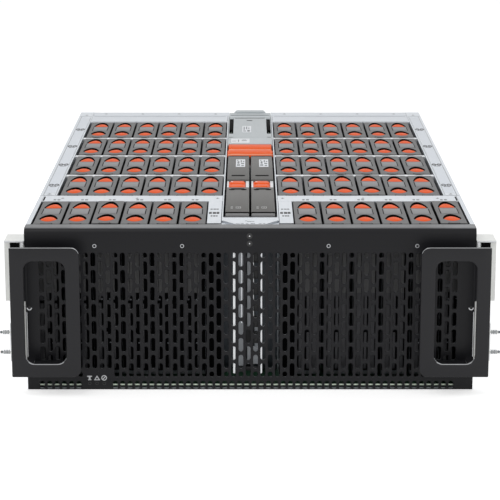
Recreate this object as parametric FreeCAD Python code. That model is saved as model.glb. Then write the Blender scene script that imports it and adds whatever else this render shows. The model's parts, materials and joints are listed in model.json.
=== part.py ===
import FreeCAD, Part
import os
from math import cos, pi, radians, sin
from FreeCAD import Vector

# Rack disk shelf, four rack units high, with its lid off: five rows of twelve upright disk drives in a
# sheet steel chassis. Lengths are in millimetres. While it is being built, +X is to the right seen from
# the front, +Y runs from the bezel's front face to the rear, and Z is 0 at the chassis' underside.

# Chassis
floor_sheet = 1.2
wall_sheet = 1.2
deck_sheet = 1.5
deck_skirt = 14.0
rim_width = 4.5                  # folded rim of the side wall beside row A
row_side_margin = 5.5            # from row A's outermost bay to the chassis' side
recess_margin = 2.2              # from a back row's outermost bay to the recess' wall
fit_gap = 0.3                    # clearance between seated pieces
overcut = 1.0                    # how far a cutting body runs past the surface it cuts
fan_bay_depth = 75.5
rear_fold = 26.0                 # rear part of the rear deck, one joggle lower
joggle = 1.0

# Disk drives and their carriers
disk_thickness = 26.1
disk_width = 101.6
disk_height = 147.0
carrier_side = 0.45              # carrier past the disk on each side
carrier_end = 1.1                # carrier past the disk at each end
bay_side_gap = 0.9               # from a carrier to the edge of its bay
cap_height = 8.6
leg_length = 62.0
leg_width = 18.0
opening_width = 17.6
near_opening_start = 10.8        # from the carrier's front edge
near_opening_length = 30.0
far_opening_margin = 4.1         # from the carrier's rear edge
far_opening_length = 28.7
opening_crown = 10.0             # rise of the arc at an opening's far side
pocket_depth = 7.0
pad_width = 15.6
pad_length = 18.0
pad_rise = 6.0
pad_crown = 4.0
pad_end_gap = 1.5
drives_per_side = 6
back_rows = ("b", "c", "d", "e")
unlatched_rise = 1.2             # how far a released drive stands above the others

# Places along the chassis
row_a_front = 21.0
cross_bar_depth = 29.6
partition_gap = 9.4
partition_drop = 0.8

# Centre channel
channel_half = 28.8              # half width between the back rows
channel_front = 51.0
front_sheet_start = 18.9
apron_neck = 14.5
filler_front = 24.0

# Backplane
board_clearance = 2.4
board_thickness = 1.6
boss_size = 8.0
connector_height = 3.5
connector_width = 6.0

# Bezel and grille
bezel_sheet = 2.0
bezel_rim_depth = 18.6
bezel_rim_radius = 6.0
slot_pitch = 7.27
slot_width = 4.6
slot_length = 14.2
slot_web = 3.2
slot_shift = 9.0                 # upward shift of every other column
grille_side_margin = 14.3
grille_top_margin = 23.9
grille_offset = -2.0
grille_bottom = 12.9
indicator_pitch = 7.2
indicator_from_side = 68.8
indicator_size = 2.0
indicator_rear_gap = 2.0
indicator_zone = 11.5            # half width kept plain above the indicators
indicator_zone_top = 20.5

# Carrying handles
handle_standoff = 21.5
handle_sheet = 2.5
handle_width = 68.0
handle_overhang = 12.5           # past the chassis' side
handle_bottom = 20.0
handle_drop = 13.6               # from the top of the chassis
handle_corner = 8.5
grip_border = 13.6
grip_border_inner = 14.0
grip_corner = 9.0
handle_flange_width = 38.0
handle_flange_start = 10.0       # from the handle's inner edge
handle_flange_inset = 8.0        # from the handle's upper and lower edges

# Telescopic rails
rail_height = 70.0
rail_centre_height = 88.0
rail_sheet = 1.5
rail_running_gap = 0.3
rail_flange = 10.0
rail_front_gap = 2.3             # behind the cross bar
rail_rear_gap = 4.0
bracket_reach = 19.8             # past the chassis' side, to the full width of the rack
bracket_drop = 12.6              # from the top of the chassis
bracket_plate_height = 61.0
bracket_flange_depth = 28.0
bracket_set_back = 2.0
arm_bottom = 26.0
arm_height = 96.0
arm_reach = 250.0
rivet_pad_length = 60.0
rack_hole_inset = 8.75           # from the bracket's outer edge
rack_hole_pitch = 31.75
rack_hole_radius = 3.4
pin_radius = 1.4
pin_sides = 6
pin_length = 8.0
pin_height = 35.5
pin_spacing = 21.0
pin_set_back = 8.0

# Expander modules
expander_front = 55.0
expander_rear_gap = 8.6          # to the canister's nose
expander_side_gap = 1.9          # to the channel's wall
expander_gap = 1.0
expander_bottom = 9.0
expander_lip = 20.8
runner_height = 8.0
expander_lip_drop = 4.0
bay_front = 196.5
bay_length = 37.5
bay_depth = 11.0
bay_width = 21.6
cheek = 3.0
release_pin_radius = 1.2
release_pin_drop = 4.6
release_pin_from_rear = 4.0
release_thickness = 6.0
release_chamfer = 2.0
bearing_gap = 0.05

# Input and output canister, power supplies and their shelves
module_side_gap = 0.4            # to the channel's wall
psu_height = 39.4
psu_length = 290.0
shelf_sheet = 1.2
canister_length = 223.0
canister_nose_lead = 1.0         # ahead of the power supplies
canister_nose_drop = 15.0
canister_rear_lip = 13.0
rear_lip_width = 34.0
rear_lip_height = 6.0
port_width = 18.0
port_height = 8.5
port_depth = 16.0
port_pitch = 23.0
port_rows = 2
port_row_pitch = 17.0
lever_front_gap = 3.9            # behind the front of the canister's nose
lever_side_gap = 0.2
lever_ridge = 23.0
lever_rise = 1.2
lever_ridge_half = 2.5
lever_thickness = 6.0
lever_pin_radius = 2.0
lever_ear = 1.4
inlet_width = 27.0
inlet_height = 20.0
inlet_depth = 18.0
inlet_side_gap = 5.0
pull_width = 14.0
pull_height = 26.0
pull_reach = 12.0
pull_thickness = 3.0

# Fan modules
fan_border = 10.65               # from the air way to the housing's upper edge
fan_housing_depth = 62.0
fan_side_gap = 0.8
hub_radius = 26.0
hub_length = 34.0
blade_count = 7
hub_sides_per_blade = 3
bore_sides = 24
blade_tip_gap = 2.0
blade_chord = 34.0
blade_thickness = 2.4
blade_angle = 38.0
strut_width = 7.0
strut_depth = 5.0
motor_plate_radius = 24.0
shaft_radius = 4.0
shaft_seat = 3.0                 # length of the shaft inside the motor plate

# Levels and edges that follow from the sizes above
carrier_width = disk_thickness + 2 * carrier_side
carrier_length = disk_width + 2 * carrier_end
drive_pitch = carrier_width + 2 * bay_side_gap
row_a_inner = channel_half + drive_pitch / 2
half_width = row_a_inner + drives_per_side * drive_pitch + row_side_margin
recess_wall_in = channel_half + drives_per_side * drive_pitch + recess_margin
recess_wall_out = recess_wall_in + wall_sheet
board_bottom = floor_sheet + board_clearance
board_top = board_bottom + board_thickness
disk_bottom = board_top + connector_height + fit_gap
cap_bottom = disk_bottom + disk_height
chassis_height = cap_bottom + cap_height
indicator_height = board_top + indicator_size / 2
row_a_rear = row_a_front + carrier_length
bar_front = row_a_rear + fit_gap
bar_rear = bar_front + cross_bar_depth
row_b_front = bar_rear + fit_gap
row_pitch = carrier_length + partition_gap
row_e_rear = row_b_front + len(back_rows) * row_pitch - partition_gap
fan_bay_front = row_e_rear + fit_gap
chassis_rear = fan_bay_front + fan_bay_depth
channel_wall_out = channel_half - fit_gap
channel_wall_in = channel_wall_out - wall_sheet
canister_front = chassis_rear - canister_length
psu_front = chassis_rear - psu_length
nose_front = psu_front - canister_nose_lead
expander_rear = nose_front - expander_rear_gap
expander_width = channel_wall_in - expander_side_gap - expander_gap
module_width = 2 * (channel_wall_in - module_side_gap)
lever_width = module_width - 2 * (lever_ear + lever_side_gap)
rail_front = bar_rear + rail_front_gap
lower_psu_bottom = floor_sheet + fit_gap
lower_shelf_bottom = lower_psu_bottom + psu_height + fit_gap
upper_psu_bottom = lower_shelf_bottom + shelf_sheet + fit_gap
upper_shelf_bottom = upper_psu_bottom + psu_height + fit_gap
canister_bottom = upper_shelf_bottom + shelf_sheet + fit_gap
canister_top = chassis_height - fit_gap
fan_bottom = floor_sheet + fit_gap
fan_top = chassis_height - joggle - 3 * deck_sheet - fit_gap
fan_bore_radius = (fan_top - fan_bottom) / 2 - fan_border
slot_columns = int((2 * (half_width - grille_side_margin)) // slot_pitch)
slot_step = slot_length + slot_web
full_slots = int((chassis_height - grille_top_margin - grille_bottom - slot_shift + slot_web) // slot_step)
indicator_centre = indicator_from_side - half_width
handle_outer = half_width + handle_overhang
handle_inner = handle_outer - handle_width
handle_top = chassis_height - handle_drop
bracket_top = chassis_height - bracket_drop
bracket_edge = half_width + bracket_reach
middle_y = (chassis_rear + canister_rear_lip - handle_standoff - handle_sheet) / 2


def block(x_from, x_to, y_from, y_to, z_from, z_to):
    return Part.makeBox(x_to - x_from, y_to - y_from, z_to - z_from, Vector(x_from, y_from, z_from))


def outline(points):
    corners = [Vector(*point) for point in points]
    return Part.Face(Part.makePolygon(corners + corners[:1]))


def prism_along_x(yz_points, x_from, x_to):
    return outline([(x_from, y, z) for y, z in yz_points]).extrude(Vector(x_to - x_from, 0, 0))


def prism_along_y(xz_points, y_from, y_to):
    return outline([(x, y_from, z) for x, z in xz_points]).extrude(Vector(0, y_to - y_from, 0))


def prism_along_z(xy_points, z_from, z_to):
    return outline([(x, y, z_from) for x, y in xy_points]).extrude(Vector(0, 0, z_to - z_from))


def rod(radius, start, direction, length):
    return Part.makeCylinder(radius, length, Vector(*start), Vector(*direction))


def many_sided(radius, sides, start, direction, length):
    """Regular prism along X or Y, with its corners on the given radius."""
    ring = []
    for corner in range(sides):
        turn = 2 * pi * (corner + 0.5) / sides
        across = radius * cos(turn)
        up = radius * sin(turn)
        offset = (0, across, up) if direction[0] else (across, 0, up)
        ring.append([place + shift for place, shift in zip(start, offset)])
    return outline(ring).extrude(Vector(*direction) * length)


def to_left(shape):
    return shape.mirror(Vector(0, 0, 0), Vector(1, 0, 0))


def both_sides(shape):
    return [shape, to_left(shape)]


def fused(first, *others):
    return first.multiFuse(list(others)).removeSplitter()


def save(name, *solids):
    """Write a piece, or a group of like pieces, about the middle of the whole shelf."""
    shape = solids[0] if len(solids) == 1 else Part.makeCompound(list(solids))
    shape = shape.copy()
    shape.translate(Vector(0, -middle_y, 0))
    shape.exportStep(os.path.join("parts", name + ".step"))
    print(name, len(shape.Solids))


# ---- chassis sheets ----

def chassis_floor():
    """Floor plate with the square bosses that carry the backplane."""
    plate = block(-half_width, half_width, bezel_sheet, chassis_rear, 0, floor_sheet)
    columns = (row_a_inner, recess_wall_in - boss_size - drive_pitch)
    rows = (row_a_front, row_b_front + row_pitch, row_b_front + 3 * row_pitch)
    bosses = []
    for y in rows:
        for x in columns:
            boss = block(x, x + boss_size, y, y + boss_size, floor_sheet, board_bottom)
            bosses += both_sides(boss)
    return fused(plate, *bosses)


def side_wall():
    """One folded sheet: outer wall beside row A, notched under the bezel's rim, then a step inwards
    to the wall of the rail recess."""
    step = bar_rear
    plan = [(half_width, bezel_sheet), (half_width, step), (recess_wall_out, step),
            (recess_wall_out, chassis_rear), (recess_wall_in, chassis_rear),
            (recess_wall_in, step - wall_sheet), (half_width - wall_sheet, step - wall_sheet),
            (half_width - wall_sheet, bezel_sheet)]
    wall = prism_along_z(plan, floor_sheet, chassis_height - deck_sheet)
    notch = block(recess_wall_in, half_width, bezel_sheet, bezel_rim_depth + fit_gap,
                  chassis_height - bezel_sheet - fit_gap, chassis_height)
    return wall.cut(notch)


def side_deck():
    """Top of the rail recess, with a skirt folded down at its outer edge."""
    profile = [(recess_wall_in, chassis_height), (half_width, chassis_height),
               (half_width, chassis_height - deck_skirt),
               (half_width - deck_sheet, chassis_height - deck_skirt),
               (half_width - deck_sheet, chassis_height - deck_sheet),
               (recess_wall_in, chassis_height - deck_sheet)]
    deck = prism_along_y(profile, bar_rear, chassis_rear)
    rim = block(half_width - rim_width, half_width, bezel_rim_depth + fit_gap, bar_rear,
                chassis_height - deck_sheet, chassis_height)
    return fused(deck, rim)


def channel_section(y_from, y_to, top, sheet):
    """Points of an inverted channel between two places along the chassis, standing on the floor."""
    return [(y_from, floor_sheet), (y_from, top), (y_to, top), (y_to, floor_sheet),
            (y_to - sheet, floor_sheet), (y_to - sheet, top - sheet),
            (y_from + sheet, top - sheet), (y_from + sheet, floor_sheet)]


def board_slot(y_from, y_to):
    """Passage for the backplane under a wall that stands on the floor."""
    return block(-half_width, half_width, y_from, y_to, floor_sheet, board_top + fit_gap)


def cross_bar():
    """Beam between row A and row B."""
    section = channel_section(bar_front, bar_rear - wall_sheet - fit_gap, chassis_height, wall_sheet)
    beam = prism_along_x(section, channel_half, recess_wall_in - fit_gap)
    wing = block(recess_wall_in - fit_gap, half_width - rim_width - fit_gap, bar_front,
                 bar_rear - wall_sheet - fit_gap, chassis_height - wall_sheet, chassis_height)
    return fused(beam, wing).cut(board_slot(bar_front - overcut, bar_rear + overcut))


def row_partitions():
    """Folded walls between the back rows, in which the drives slide."""
    walls = []
    for number in range(len(back_rows) - 1):
        start = row_b_front + number * row_pitch + carrier_length + fit_gap
        end = start + partition_gap - 2 * fit_gap
        section = channel_section(start, end, chassis_height - partition_drop, wall_sheet)
        wall = prism_along_x(section, channel_half, recess_wall_in - fit_gap)
        walls += both_sides(wall.cut(board_slot(start - overcut, end + overcut)))
    return walls


def rear_deck():
    """Cover over a fan bay, with a flange, a joggle and a lip folded down at the rear edge."""
    top = chassis_height
    low = top - joggle
    bend = chassis_rear - rear_fold
    section = [(fan_bay_front, top), (bend, top), (bend, low), (chassis_rear, low),
               (chassis_rear, low - 3 * deck_sheet), (chassis_rear - deck_sheet, low - 3 * deck_sheet),
               (chassis_rear - deck_sheet, low - deck_sheet), (bend - deck_sheet, low - deck_sheet),
               (bend - deck_sheet, top - deck_sheet), (fan_bay_front + deck_sheet, top - deck_sheet),
               (fan_bay_front + deck_sheet, top - deck_skirt), (fan_bay_front, top - deck_skirt)]
    return prism_along_x(section, channel_half, recess_wall_in - fit_gap)


def centre_wall():
    return block(channel_wall_in, channel_wall_out, channel_front, chassis_rear - rear_fold,
                 floor_sheet, chassis_height)


def tunnel_shelf(bottom):
    """Shelf across the centre channel, between its walls."""
    half = channel_wall_in
    return block(-half, half, psu_front, chassis_rear - rear_fold, bottom, bottom + shelf_sheet)


def front_apron():
    """Tapered plate between the bezel and the expander modules, folded down to the floor."""
    rear = channel_front - fit_gap
    front = front_sheet_start
    shoulder = (front + rear) / 2
    plan = [(-apron_neck, front), (apron_neck, front), (channel_wall_out, shoulder),
            (channel_wall_out, rear), (-channel_wall_out, rear), (-channel_wall_out, shoulder)]
    top = prism_along_z(plan, chassis_height - deck_sheet, chassis_height)
    fold = block(-channel_wall_in, channel_wall_in, rear - deck_sheet, rear, floor_sheet,
                 chassis_height - deck_sheet)
    return fused(top, fold.cut(board_slot(rear - 2 * deck_sheet, rear + deck_sheet)))


def centre_filler():
    """Channel that fills the half pitch beside row A and carries the slot label."""
    outer = row_a_inner - fit_gap
    inner = channel_half + fit_gap
    top = chassis_height
    profile = [(inner, floor_sheet), (inner, top), (outer, top), (outer, floor_sheet),
               (outer - wall_sheet, floor_sheet), (outer - wall_sheet, top - wall_sheet),
               (inner + wall_sheet, top - wall_sheet), (inner + wall_sheet, floor_sheet)]
    channel = prism_along_y(profile, filler_front, row_a_rear)
    return channel.cut(board_slot(filler_front - overcut, row_a_rear + overcut))


# ---- bezel ----

def slot_wire(x, z_from, z_to):
    half = slot_width / 2
    corners = [(x - half, z_from), (x + half, z_from), (x + half, z_to), (x - half, z_to)]
    points = [Vector(px, 0, pz) for px, pz in corners]
    return Part.makePolygon(points + points[:1])


def slot_spans(column):
    """Lower and upper end of each slot in a column: every other column is shifted by half a slot."""
    start = grille_bottom + (column % 2) * slot_shift
    return [(start + i * slot_step, start + i * slot_step + slot_length) for i in range(full_slots)]


def grille_wires():
    wires = []
    for column in range(slot_columns):
        x = grille_offset + (column - (slot_columns - 1) / 2) * slot_pitch
        over_indicators = abs(x - indicator_centre) < indicator_zone
        for low, high in slot_spans(column):
            if over_indicators and low < indicator_zone_top:
                low = indicator_zone_top
            if high - low > slot_width:
                wires.append(slot_wire(x, low, high))
    return wires


def indicator_places():
    return [indicator_centre + i * indicator_pitch for i in (-1, 0, 1)]


def front_bezel():
    """Slotted front sheet whose top edge rolls back over a radius into a flat rim."""
    roll = bezel_rim_radius
    top = chassis_height
    edge = half_width
    rim_start = top - roll
    frame_points = [Vector(-edge, 0, 0), Vector(edge, 0, 0), Vector(edge, 0, rim_start),
                    Vector(-edge, 0, rim_start)]
    border = Part.makePolygon(frame_points + frame_points[:1])
    half = indicator_size / 2 + bearing_gap
    windows = []
    for x in indicator_places():
        low = indicator_height - half
        high = indicator_height + half
        corners = [Vector(x - half, 0, low), Vector(x + half, 0, low), Vector(x + half, 0, high),
                   Vector(x - half, 0, high)]
        windows.append(Part.makePolygon(corners + corners[:1]))
    front = Part.Face([border] + grille_wires() + windows).extrude(Vector(0, bezel_sheet, 0))

    inner = roll - bezel_sheet
    bend = cos(pi / 4)
    outer_arc = Part.Arc(Vector(-edge, 0, rim_start),
                         Vector(-edge, roll * (1 - bend), rim_start + roll * bend),
                         Vector(-edge, roll, top)).toShape()
    inner_arc = Part.Arc(Vector(-edge, roll, top - bezel_sheet),
                         Vector(-edge, roll - inner * bend, rim_start + inner * bend),
                         Vector(-edge, bezel_sheet, rim_start)).toShape()
    ends = [Vector(-edge, roll, top), Vector(-edge, bezel_rim_depth, top),
            Vector(-edge, bezel_rim_depth, top - bezel_sheet), Vector(-edge, roll, top - bezel_sheet)]
    lines = [Part.makeLine(ends[i], ends[i + 1]) for i in range(3)]
    foot = Part.makeLine(Vector(-edge, bezel_sheet, rim_start), Vector(-edge, 0, rim_start))
    rim = Part.Face(Part.Wire([outer_arc] + lines + [inner_arc, foot])).extrude(Vector(2 * edge, 0, 0))
    return fused(front, rim)


def indicator_light(x):
    half = indicator_size / 2
    return block(x - half, x + half, bezel_sheet / 2, row_a_front - indicator_rear_gap,
                 indicator_height - half, indicator_height + half)


def rounded_wire(x_from, x_to, z_from, z_to, y, radii):
    """Rectangle in an upright plane. Radii are for its corners in turn, from the lower left."""
    corners = [(x_from, z_from), (x_to, z_from), (x_to, z_to), (x_from, z_to)]
    turns = [((1, 0), (0, 1)), ((0, 1), (-1, 0)), ((-1, 0), (0, -1)), ((0, -1), (1, 0))]
    edges = []
    last = None
    first = None
    for (cx, cz), (leave, left), radius in zip(corners, turns, radii):
        start = Vector(cx + left[0] * radius, y, cz + left[1] * radius)
        end = Vector(cx + leave[0] * radius, y, cz + leave[1] * radius)
        if last is not None:
            edges.append(Part.makeLine(last, start))
        if first is None:
            first = start
        if radius > 0:
            reach = radius * (1 - cos(pi / 4))
            middle = Vector(cx + (leave[0] + left[0]) * reach, y, cz + (leave[1] + left[1]) * reach)
            edges.append(Part.Arc(start, middle, end).toShape())
        last = end
    edges.append(Part.makeLine(last, first))
    return Part.Wire(edges)


def carrying_handle():
    """Flat grip plate with a rounded window, carried by flanges folded back to the bezel."""
    front = -handle_standoff - handle_sheet
    rim = rounded_wire(handle_inner, handle_outer, handle_bottom, handle_top, front,
                       (handle_corner, 0, 0, handle_corner))
    window = rounded_wire(handle_inner + grip_border_inner, handle_outer - grip_border,
                          handle_bottom + grip_border, handle_top - grip_border, front, (grip_corner,) * 4)
    along = Vector(0, handle_sheet, 0)
    plate = Part.Face(rim).extrude(along).cut(Part.Face(window).extrude(along))
    pieces = []
    start = handle_inner + handle_flange_start
    for low in (handle_bottom + handle_flange_inset, handle_top - handle_flange_inset - handle_sheet):
        pieces.append(block(start, start + handle_flange_width, -handle_standoff, 0, low,
                            low + handle_sheet))
    return fused(plate, *pieces)


# ---- drives ----

def bay_start(row, number):
    """Left edge of a drive's bay. Drives are numbered from 1 at the left."""
    inner = row_a_inner if row == "a" else channel_half
    if number <= drives_per_side:
        return -inner - (drives_per_side + 1 - number) * drive_pitch
    return inner + (number - drives_per_side - 1) * drive_pitch


def row_front(row):
    return row_a_front if row == "a" else row_b_front + back_rows.index(row) * row_pitch


def carrier_place(row, number):
    return bay_start(row, number) + bay_side_gap, row_front(row)


def opening_places():
    far_start = carrier_length - far_opening_margin - far_opening_length
    return ((near_opening_start, near_opening_length), (far_start, far_opening_length))


def pad_starts():
    """Where each release pad starts: the pads stand at the openings' outer ends."""
    (near, _), (far, far_length) = opening_places()
    return near + pad_end_gap, far + far_length - opening_crown / 2 - pad_length


def seated_drive(row, number, rise):
    """Carrier and disk joined in one body, with a pocket for each release pad."""
    x, y = carrier_place(row, number)
    body = block(x, x + carrier_width, y, y + carrier_length, disk_bottom + rise, chassis_height + rise)
    left = x + (carrier_width - opening_width) / 2
    top = chassis_height + rise
    pockets = [block(left, left + opening_width, y + start, y + start + length, top - pocket_depth,
                     top + overcut) for start, length in opening_places()]
    return body.cut(Part.makeCompound(pockets))


def seated_pads(row, number, rise):
    """Two sloping finger pads on the floors of the pockets."""
    x, y = carrier_place(row, number)
    left = x + (carrier_width - pad_width) / 2
    low = chassis_height + rise - pocket_depth
    pads = []
    for start in pad_starts():
        ramp = [(y + start, low), (y + start + pad_length / 2, low + pad_rise), (y + start + pad_length, low)]
        pads.append(prism_along_x(ramp, left, left + pad_width))
    return pads


def crowned_opening(x, y, length, z_from, z_to):
    """Opening with a straight near side and an arc across its far side."""
    half = opening_width / 2
    middle = x + carrier_width / 2
    shoulder = y + length - opening_crown
    corners = [Vector(middle - half, y, z_from), Vector(middle + half, y, z_from),
               Vector(middle + half, shoulder, z_from), Vector(middle - half, shoulder, z_from)]
    crown = Part.Arc(corners[2], Vector(middle, y + length, z_from), corners[3]).toShape()
    lines = [Part.makeLine(corners[3], corners[0]), Part.makeLine(corners[0], corners[1]),
             Part.makeLine(corners[1], corners[2])]
    return Part.Face(Part.Wire(lines + [crown])).extrude(Vector(0, 0, z_to - z_from))


def loose_carrier(row, number):
    """Carrier cap with its two openings, and a leg down each end of the disk."""
    x, y = carrier_place(row, number)
    low = cap_bottom + unlatched_rise
    top = chassis_height + unlatched_rise
    cap = block(x, x + carrier_width, y, y + carrier_length, low, top)
    for start, length in opening_places():
        cap = cap.cut(crowned_opening(x, y + start, length, low - overcut, top + overcut))
    middle = x + carrier_width / 2
    leg_sheet = carrier_end - bearing_gap
    legs = [block(middle - leg_width / 2, middle + leg_width / 2, start, start + leg_sheet,
                  low - leg_length, low) for start in (y, y + carrier_length - leg_sheet)]
    return fused(cap, *legs)


def loose_disk(row, number):
    x, y = carrier_place(row, number)
    left = x + carrier_side
    front = y + carrier_end
    low = disk_bottom + unlatched_rise
    return block(left, left + disk_thickness, front, front + disk_width, low, low + disk_height)


def loose_pad(row, number, start):
    """Release pad with a crowned finger surface on a short foot."""
    x, y = carrier_place(row, number)
    left = x + (carrier_width - pad_width) / 2
    low = cap_bottom + unlatched_rise
    high = chassis_height + unlatched_rise - pocket_depth + pad_rise
    front = y + start
    rear = front + pad_length
    section = [(front, low), (front, high - pad_crown), (front + pad_length / 4, high - pad_crown / 4),
               (front + pad_length / 2, high), (rear - pad_length / 4, high - pad_crown / 4),
               (rear, high - pad_crown), (rear, low)]
    return prism_along_x(section, left, left + pad_width)


def backplane():
    """Board under all the drives: full width below row A, narrower below the back rows."""
    wide = half_width - wall_sheet - fit_gap
    narrow = recess_wall_in - fit_gap
    front = bezel_sheet + fit_gap
    rear = row_e_rear - fit_gap
    step = bar_front
    plan = [(-wide, front), (wide, front), (wide, step), (narrow, step), (narrow, rear),
            (-narrow, rear), (-narrow, step), (-wide, step)]
    board = prism_along_z(plan, board_bottom, board_top)
    tunnel = block(-channel_wall_out - fit_gap, channel_wall_out + fit_gap, channel_front - fit_gap,
                   rear + overcut, board_bottom - overcut, board_top + overcut)
    return board.cut(tunnel)


def connector_strips(row):
    """Sockets of one row, in one housing a side."""
    inner = row_a_inner if row == "a" else channel_half
    start = row_front(row) + (carrier_length - connector_width) / 2
    strip = block(inner + fit_gap, inner + drives_per_side * drive_pitch - fit_gap, start,
                  start + connector_width, board_top, disk_bottom - fit_gap)
    return both_sides(strip)


# ---- centre modules ----

def expander_body():
    """Right-hand expander: upright case with a runner, a low front lip and a release lever's bay."""
    left = expander_gap
    right = left + expander_width
    rear = expander_rear
    top = chassis_height
    lip = expander_front + expander_lip
    section = [(expander_front, expander_bottom), (expander_front, top - expander_lip_drop),
               (lip, top - expander_lip_drop), (lip, top), (rear, top), (rear, expander_bottom)]
    case = prism_along_x(section, left, right)
    runner = block(right, channel_wall_in - fit_gap, expander_front, rear, expander_bottom,
                   expander_bottom + runner_height)
    middle = (left + right) / 2
    bay = block(middle - bay_width / 2 + cheek, middle + bay_width / 2 - cheek, bay_front,
                bay_front + bay_length, top - bay_depth, top + overcut)
    pin = rod(release_pin_radius + bearing_gap, (left + cheek / 2, release_y(), release_z()), (1, 0, 0),
              expander_width - cheek)
    return fused(case, runner).cut(bay).cut(pin)


def release_y():
    return bay_front + bay_length - release_pin_from_rear


def release_z():
    return chassis_height - release_pin_drop


def release_lever():
    """Lever lying in the expander's bay, turning on a pin at its rear end."""
    left = expander_gap
    middle = left + expander_width / 2
    half = bay_width / 2 - cheek - fit_gap
    low = release_z() - release_thickness / 2
    high = release_z() + release_thickness / 2
    front = bay_front + fit_gap
    nose = front + release_thickness
    section = [(front, high - release_chamfer), (nose, high), (release_y(), high),
               (release_y() + release_chamfer, release_z()), (release_y(), low), (front, low)]
    lever = prism_along_x(section, middle - half, middle + half)
    pin_half = expander_width / 2 - cheek / 2 - fit_gap
    pin = rod(release_pin_radius, (middle - pin_half, release_y(), release_z()), (1, 0, 0), 2 * pin_half)
    return fused(lever, pin)


def lever_pivot():
    """Axis of the canister's cross lever: distance along the chassis and height."""
    return canister_front - lever_pin_radius - 2 * fit_gap, canister_top - lever_thickness / 2


def canister():
    """Tray that carries both interface modules, with its ports in the rear face."""
    half = module_width / 2
    nose_top = canister_top - canister_nose_drop
    section = [(nose_front, canister_bottom), (nose_front, nose_top), (canister_front, nose_top),
               (canister_front, canister_top), (chassis_rear, canister_top),
               (chassis_rear, canister_bottom)]
    body = prism_along_x(section, -half, half)
    lip = block(-rear_lip_width / 2, rear_lip_width / 2, chassis_rear, chassis_rear + canister_rear_lip,
                canister_top - rear_lip_height, canister_top)
    pivot_y, pivot_z = lever_pivot()
    ear_reach = lever_pin_radius + 2 * lever_ear
    ears = []
    for start in (-half, half - lever_ear):
        ears.append(block(start, start + lever_ear, pivot_y - ear_reach, canister_front, nose_top,
                          canister_top))
    body = fused(body, lip, *ears)
    body = body.cut(rod(lever_pin_radius + bearing_gap, (-half, pivot_y, pivot_z), (1, 0, 0), 2 * half))
    ports = []
    for side in (-1, 1):
        for number in range(port_rows):
            x = side * port_pitch / 2
            z = canister_bottom + port_row_pitch * (number + 0.5)
            ports.append(block(x - port_width / 2, x + port_width / 2, chassis_rear - port_depth,
                               chassis_rear + overcut, z, z + port_height))
    return body.cut(Part.makeCompound(ports))


def cross_lever():
    """Broad handle in front of the canister, with a raised ridge across its middle."""
    pivot_y, pivot_z = lever_pivot()
    rear = pivot_y + lever_pin_radius
    front = nose_front + lever_front_gap
    ridge = front + lever_ridge
    low = pivot_z - lever_thickness / 2
    high = pivot_z + lever_thickness / 2
    flat = high - lever_rise / 2
    section = [(front, low), (front, high - lever_rise), (ridge - lever_ridge_half, flat), (ridge, high),
               (ridge + lever_ridge_half, flat), (pivot_y, flat), (rear, pivot_z), (pivot_y, low)]
    plate = prism_along_x(section, -lever_width / 2, lever_width / 2)
    pin_half = module_width / 2
    pin = rod(lever_pin_radius, (-pin_half, pivot_y, pivot_z), (1, 0, 0), 2 * pin_half)
    return fused(plate, pin)


def power_supply(bottom):
    """Slim supply with a mains inlet and, beside it, a looped pull."""
    half = module_width / 2
    body = block(-half, half, psu_front, chassis_rear, bottom, bottom + psu_height)
    inlet_low = bottom + (psu_height - inlet_height) / 2
    inlet_left = -half + inlet_side_gap
    inlet = block(inlet_left, inlet_left + inlet_width, chassis_rear - inlet_depth,
                  chassis_rear + overcut, inlet_low, inlet_low + inlet_height)
    low = bottom + (psu_height - pull_height) / 2
    high = low + pull_height
    rear = chassis_rear + pull_reach
    inside = rear - pull_thickness
    loop = [(chassis_rear, low), (rear, low), (rear, high), (chassis_rear, high),
            (chassis_rear, high - pull_thickness), (inside, high - pull_thickness),
            (inside, low + pull_thickness), (chassis_rear, low + pull_thickness)]
    right = half - fit_gap
    pull = prism_along_x(loop, right - pull_width, right)
    return fused(body.cut(inlet), pull)


# ---- fan modules ----

def fan_centre():
    inner = channel_half + fan_side_gap
    outer = recess_wall_in - fan_side_gap
    return (inner + outer) / 2, (fan_bottom + fan_top) / 2


def fan_housing():
    """Square frame with a round air way, and struts that carry the motor plate at the rear."""
    x, z = fan_centre()
    inner = channel_half + fan_side_gap
    outer = recess_wall_in - fan_side_gap
    front = chassis_rear - fan_housing_depth
    frame = block(inner, outer, front, chassis_rear, fan_bottom, fan_top)
    air_way = many_sided(fan_bore_radius, bore_sides, (x, front - overcut, z), (0, 1, 0),
                         fan_housing_depth + 2 * overcut)
    strut_start = chassis_rear - strut_depth
    reach = fan_bore_radius + overcut
    struts = []
    for angle in (45, 135):
        bar = block(-reach, reach, strut_start, chassis_rear, -strut_width / 2, strut_width / 2)
        bar.rotate(Vector(0, 0, 0), Vector(0, 1, 0), angle)
        bar.translate(Vector(x, 0, z))
        struts.append(bar)
    plate = many_sided(motor_plate_radius, bore_sides // 2, (x, strut_start, z), (0, 1, 0), strut_depth)
    seat = rod(shaft_radius + bearing_gap, (x, strut_start, z), (0, 1, 0), shaft_seat + fit_gap)
    return fused(frame.cut(air_way), plate, *struts).cut(seat)


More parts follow.
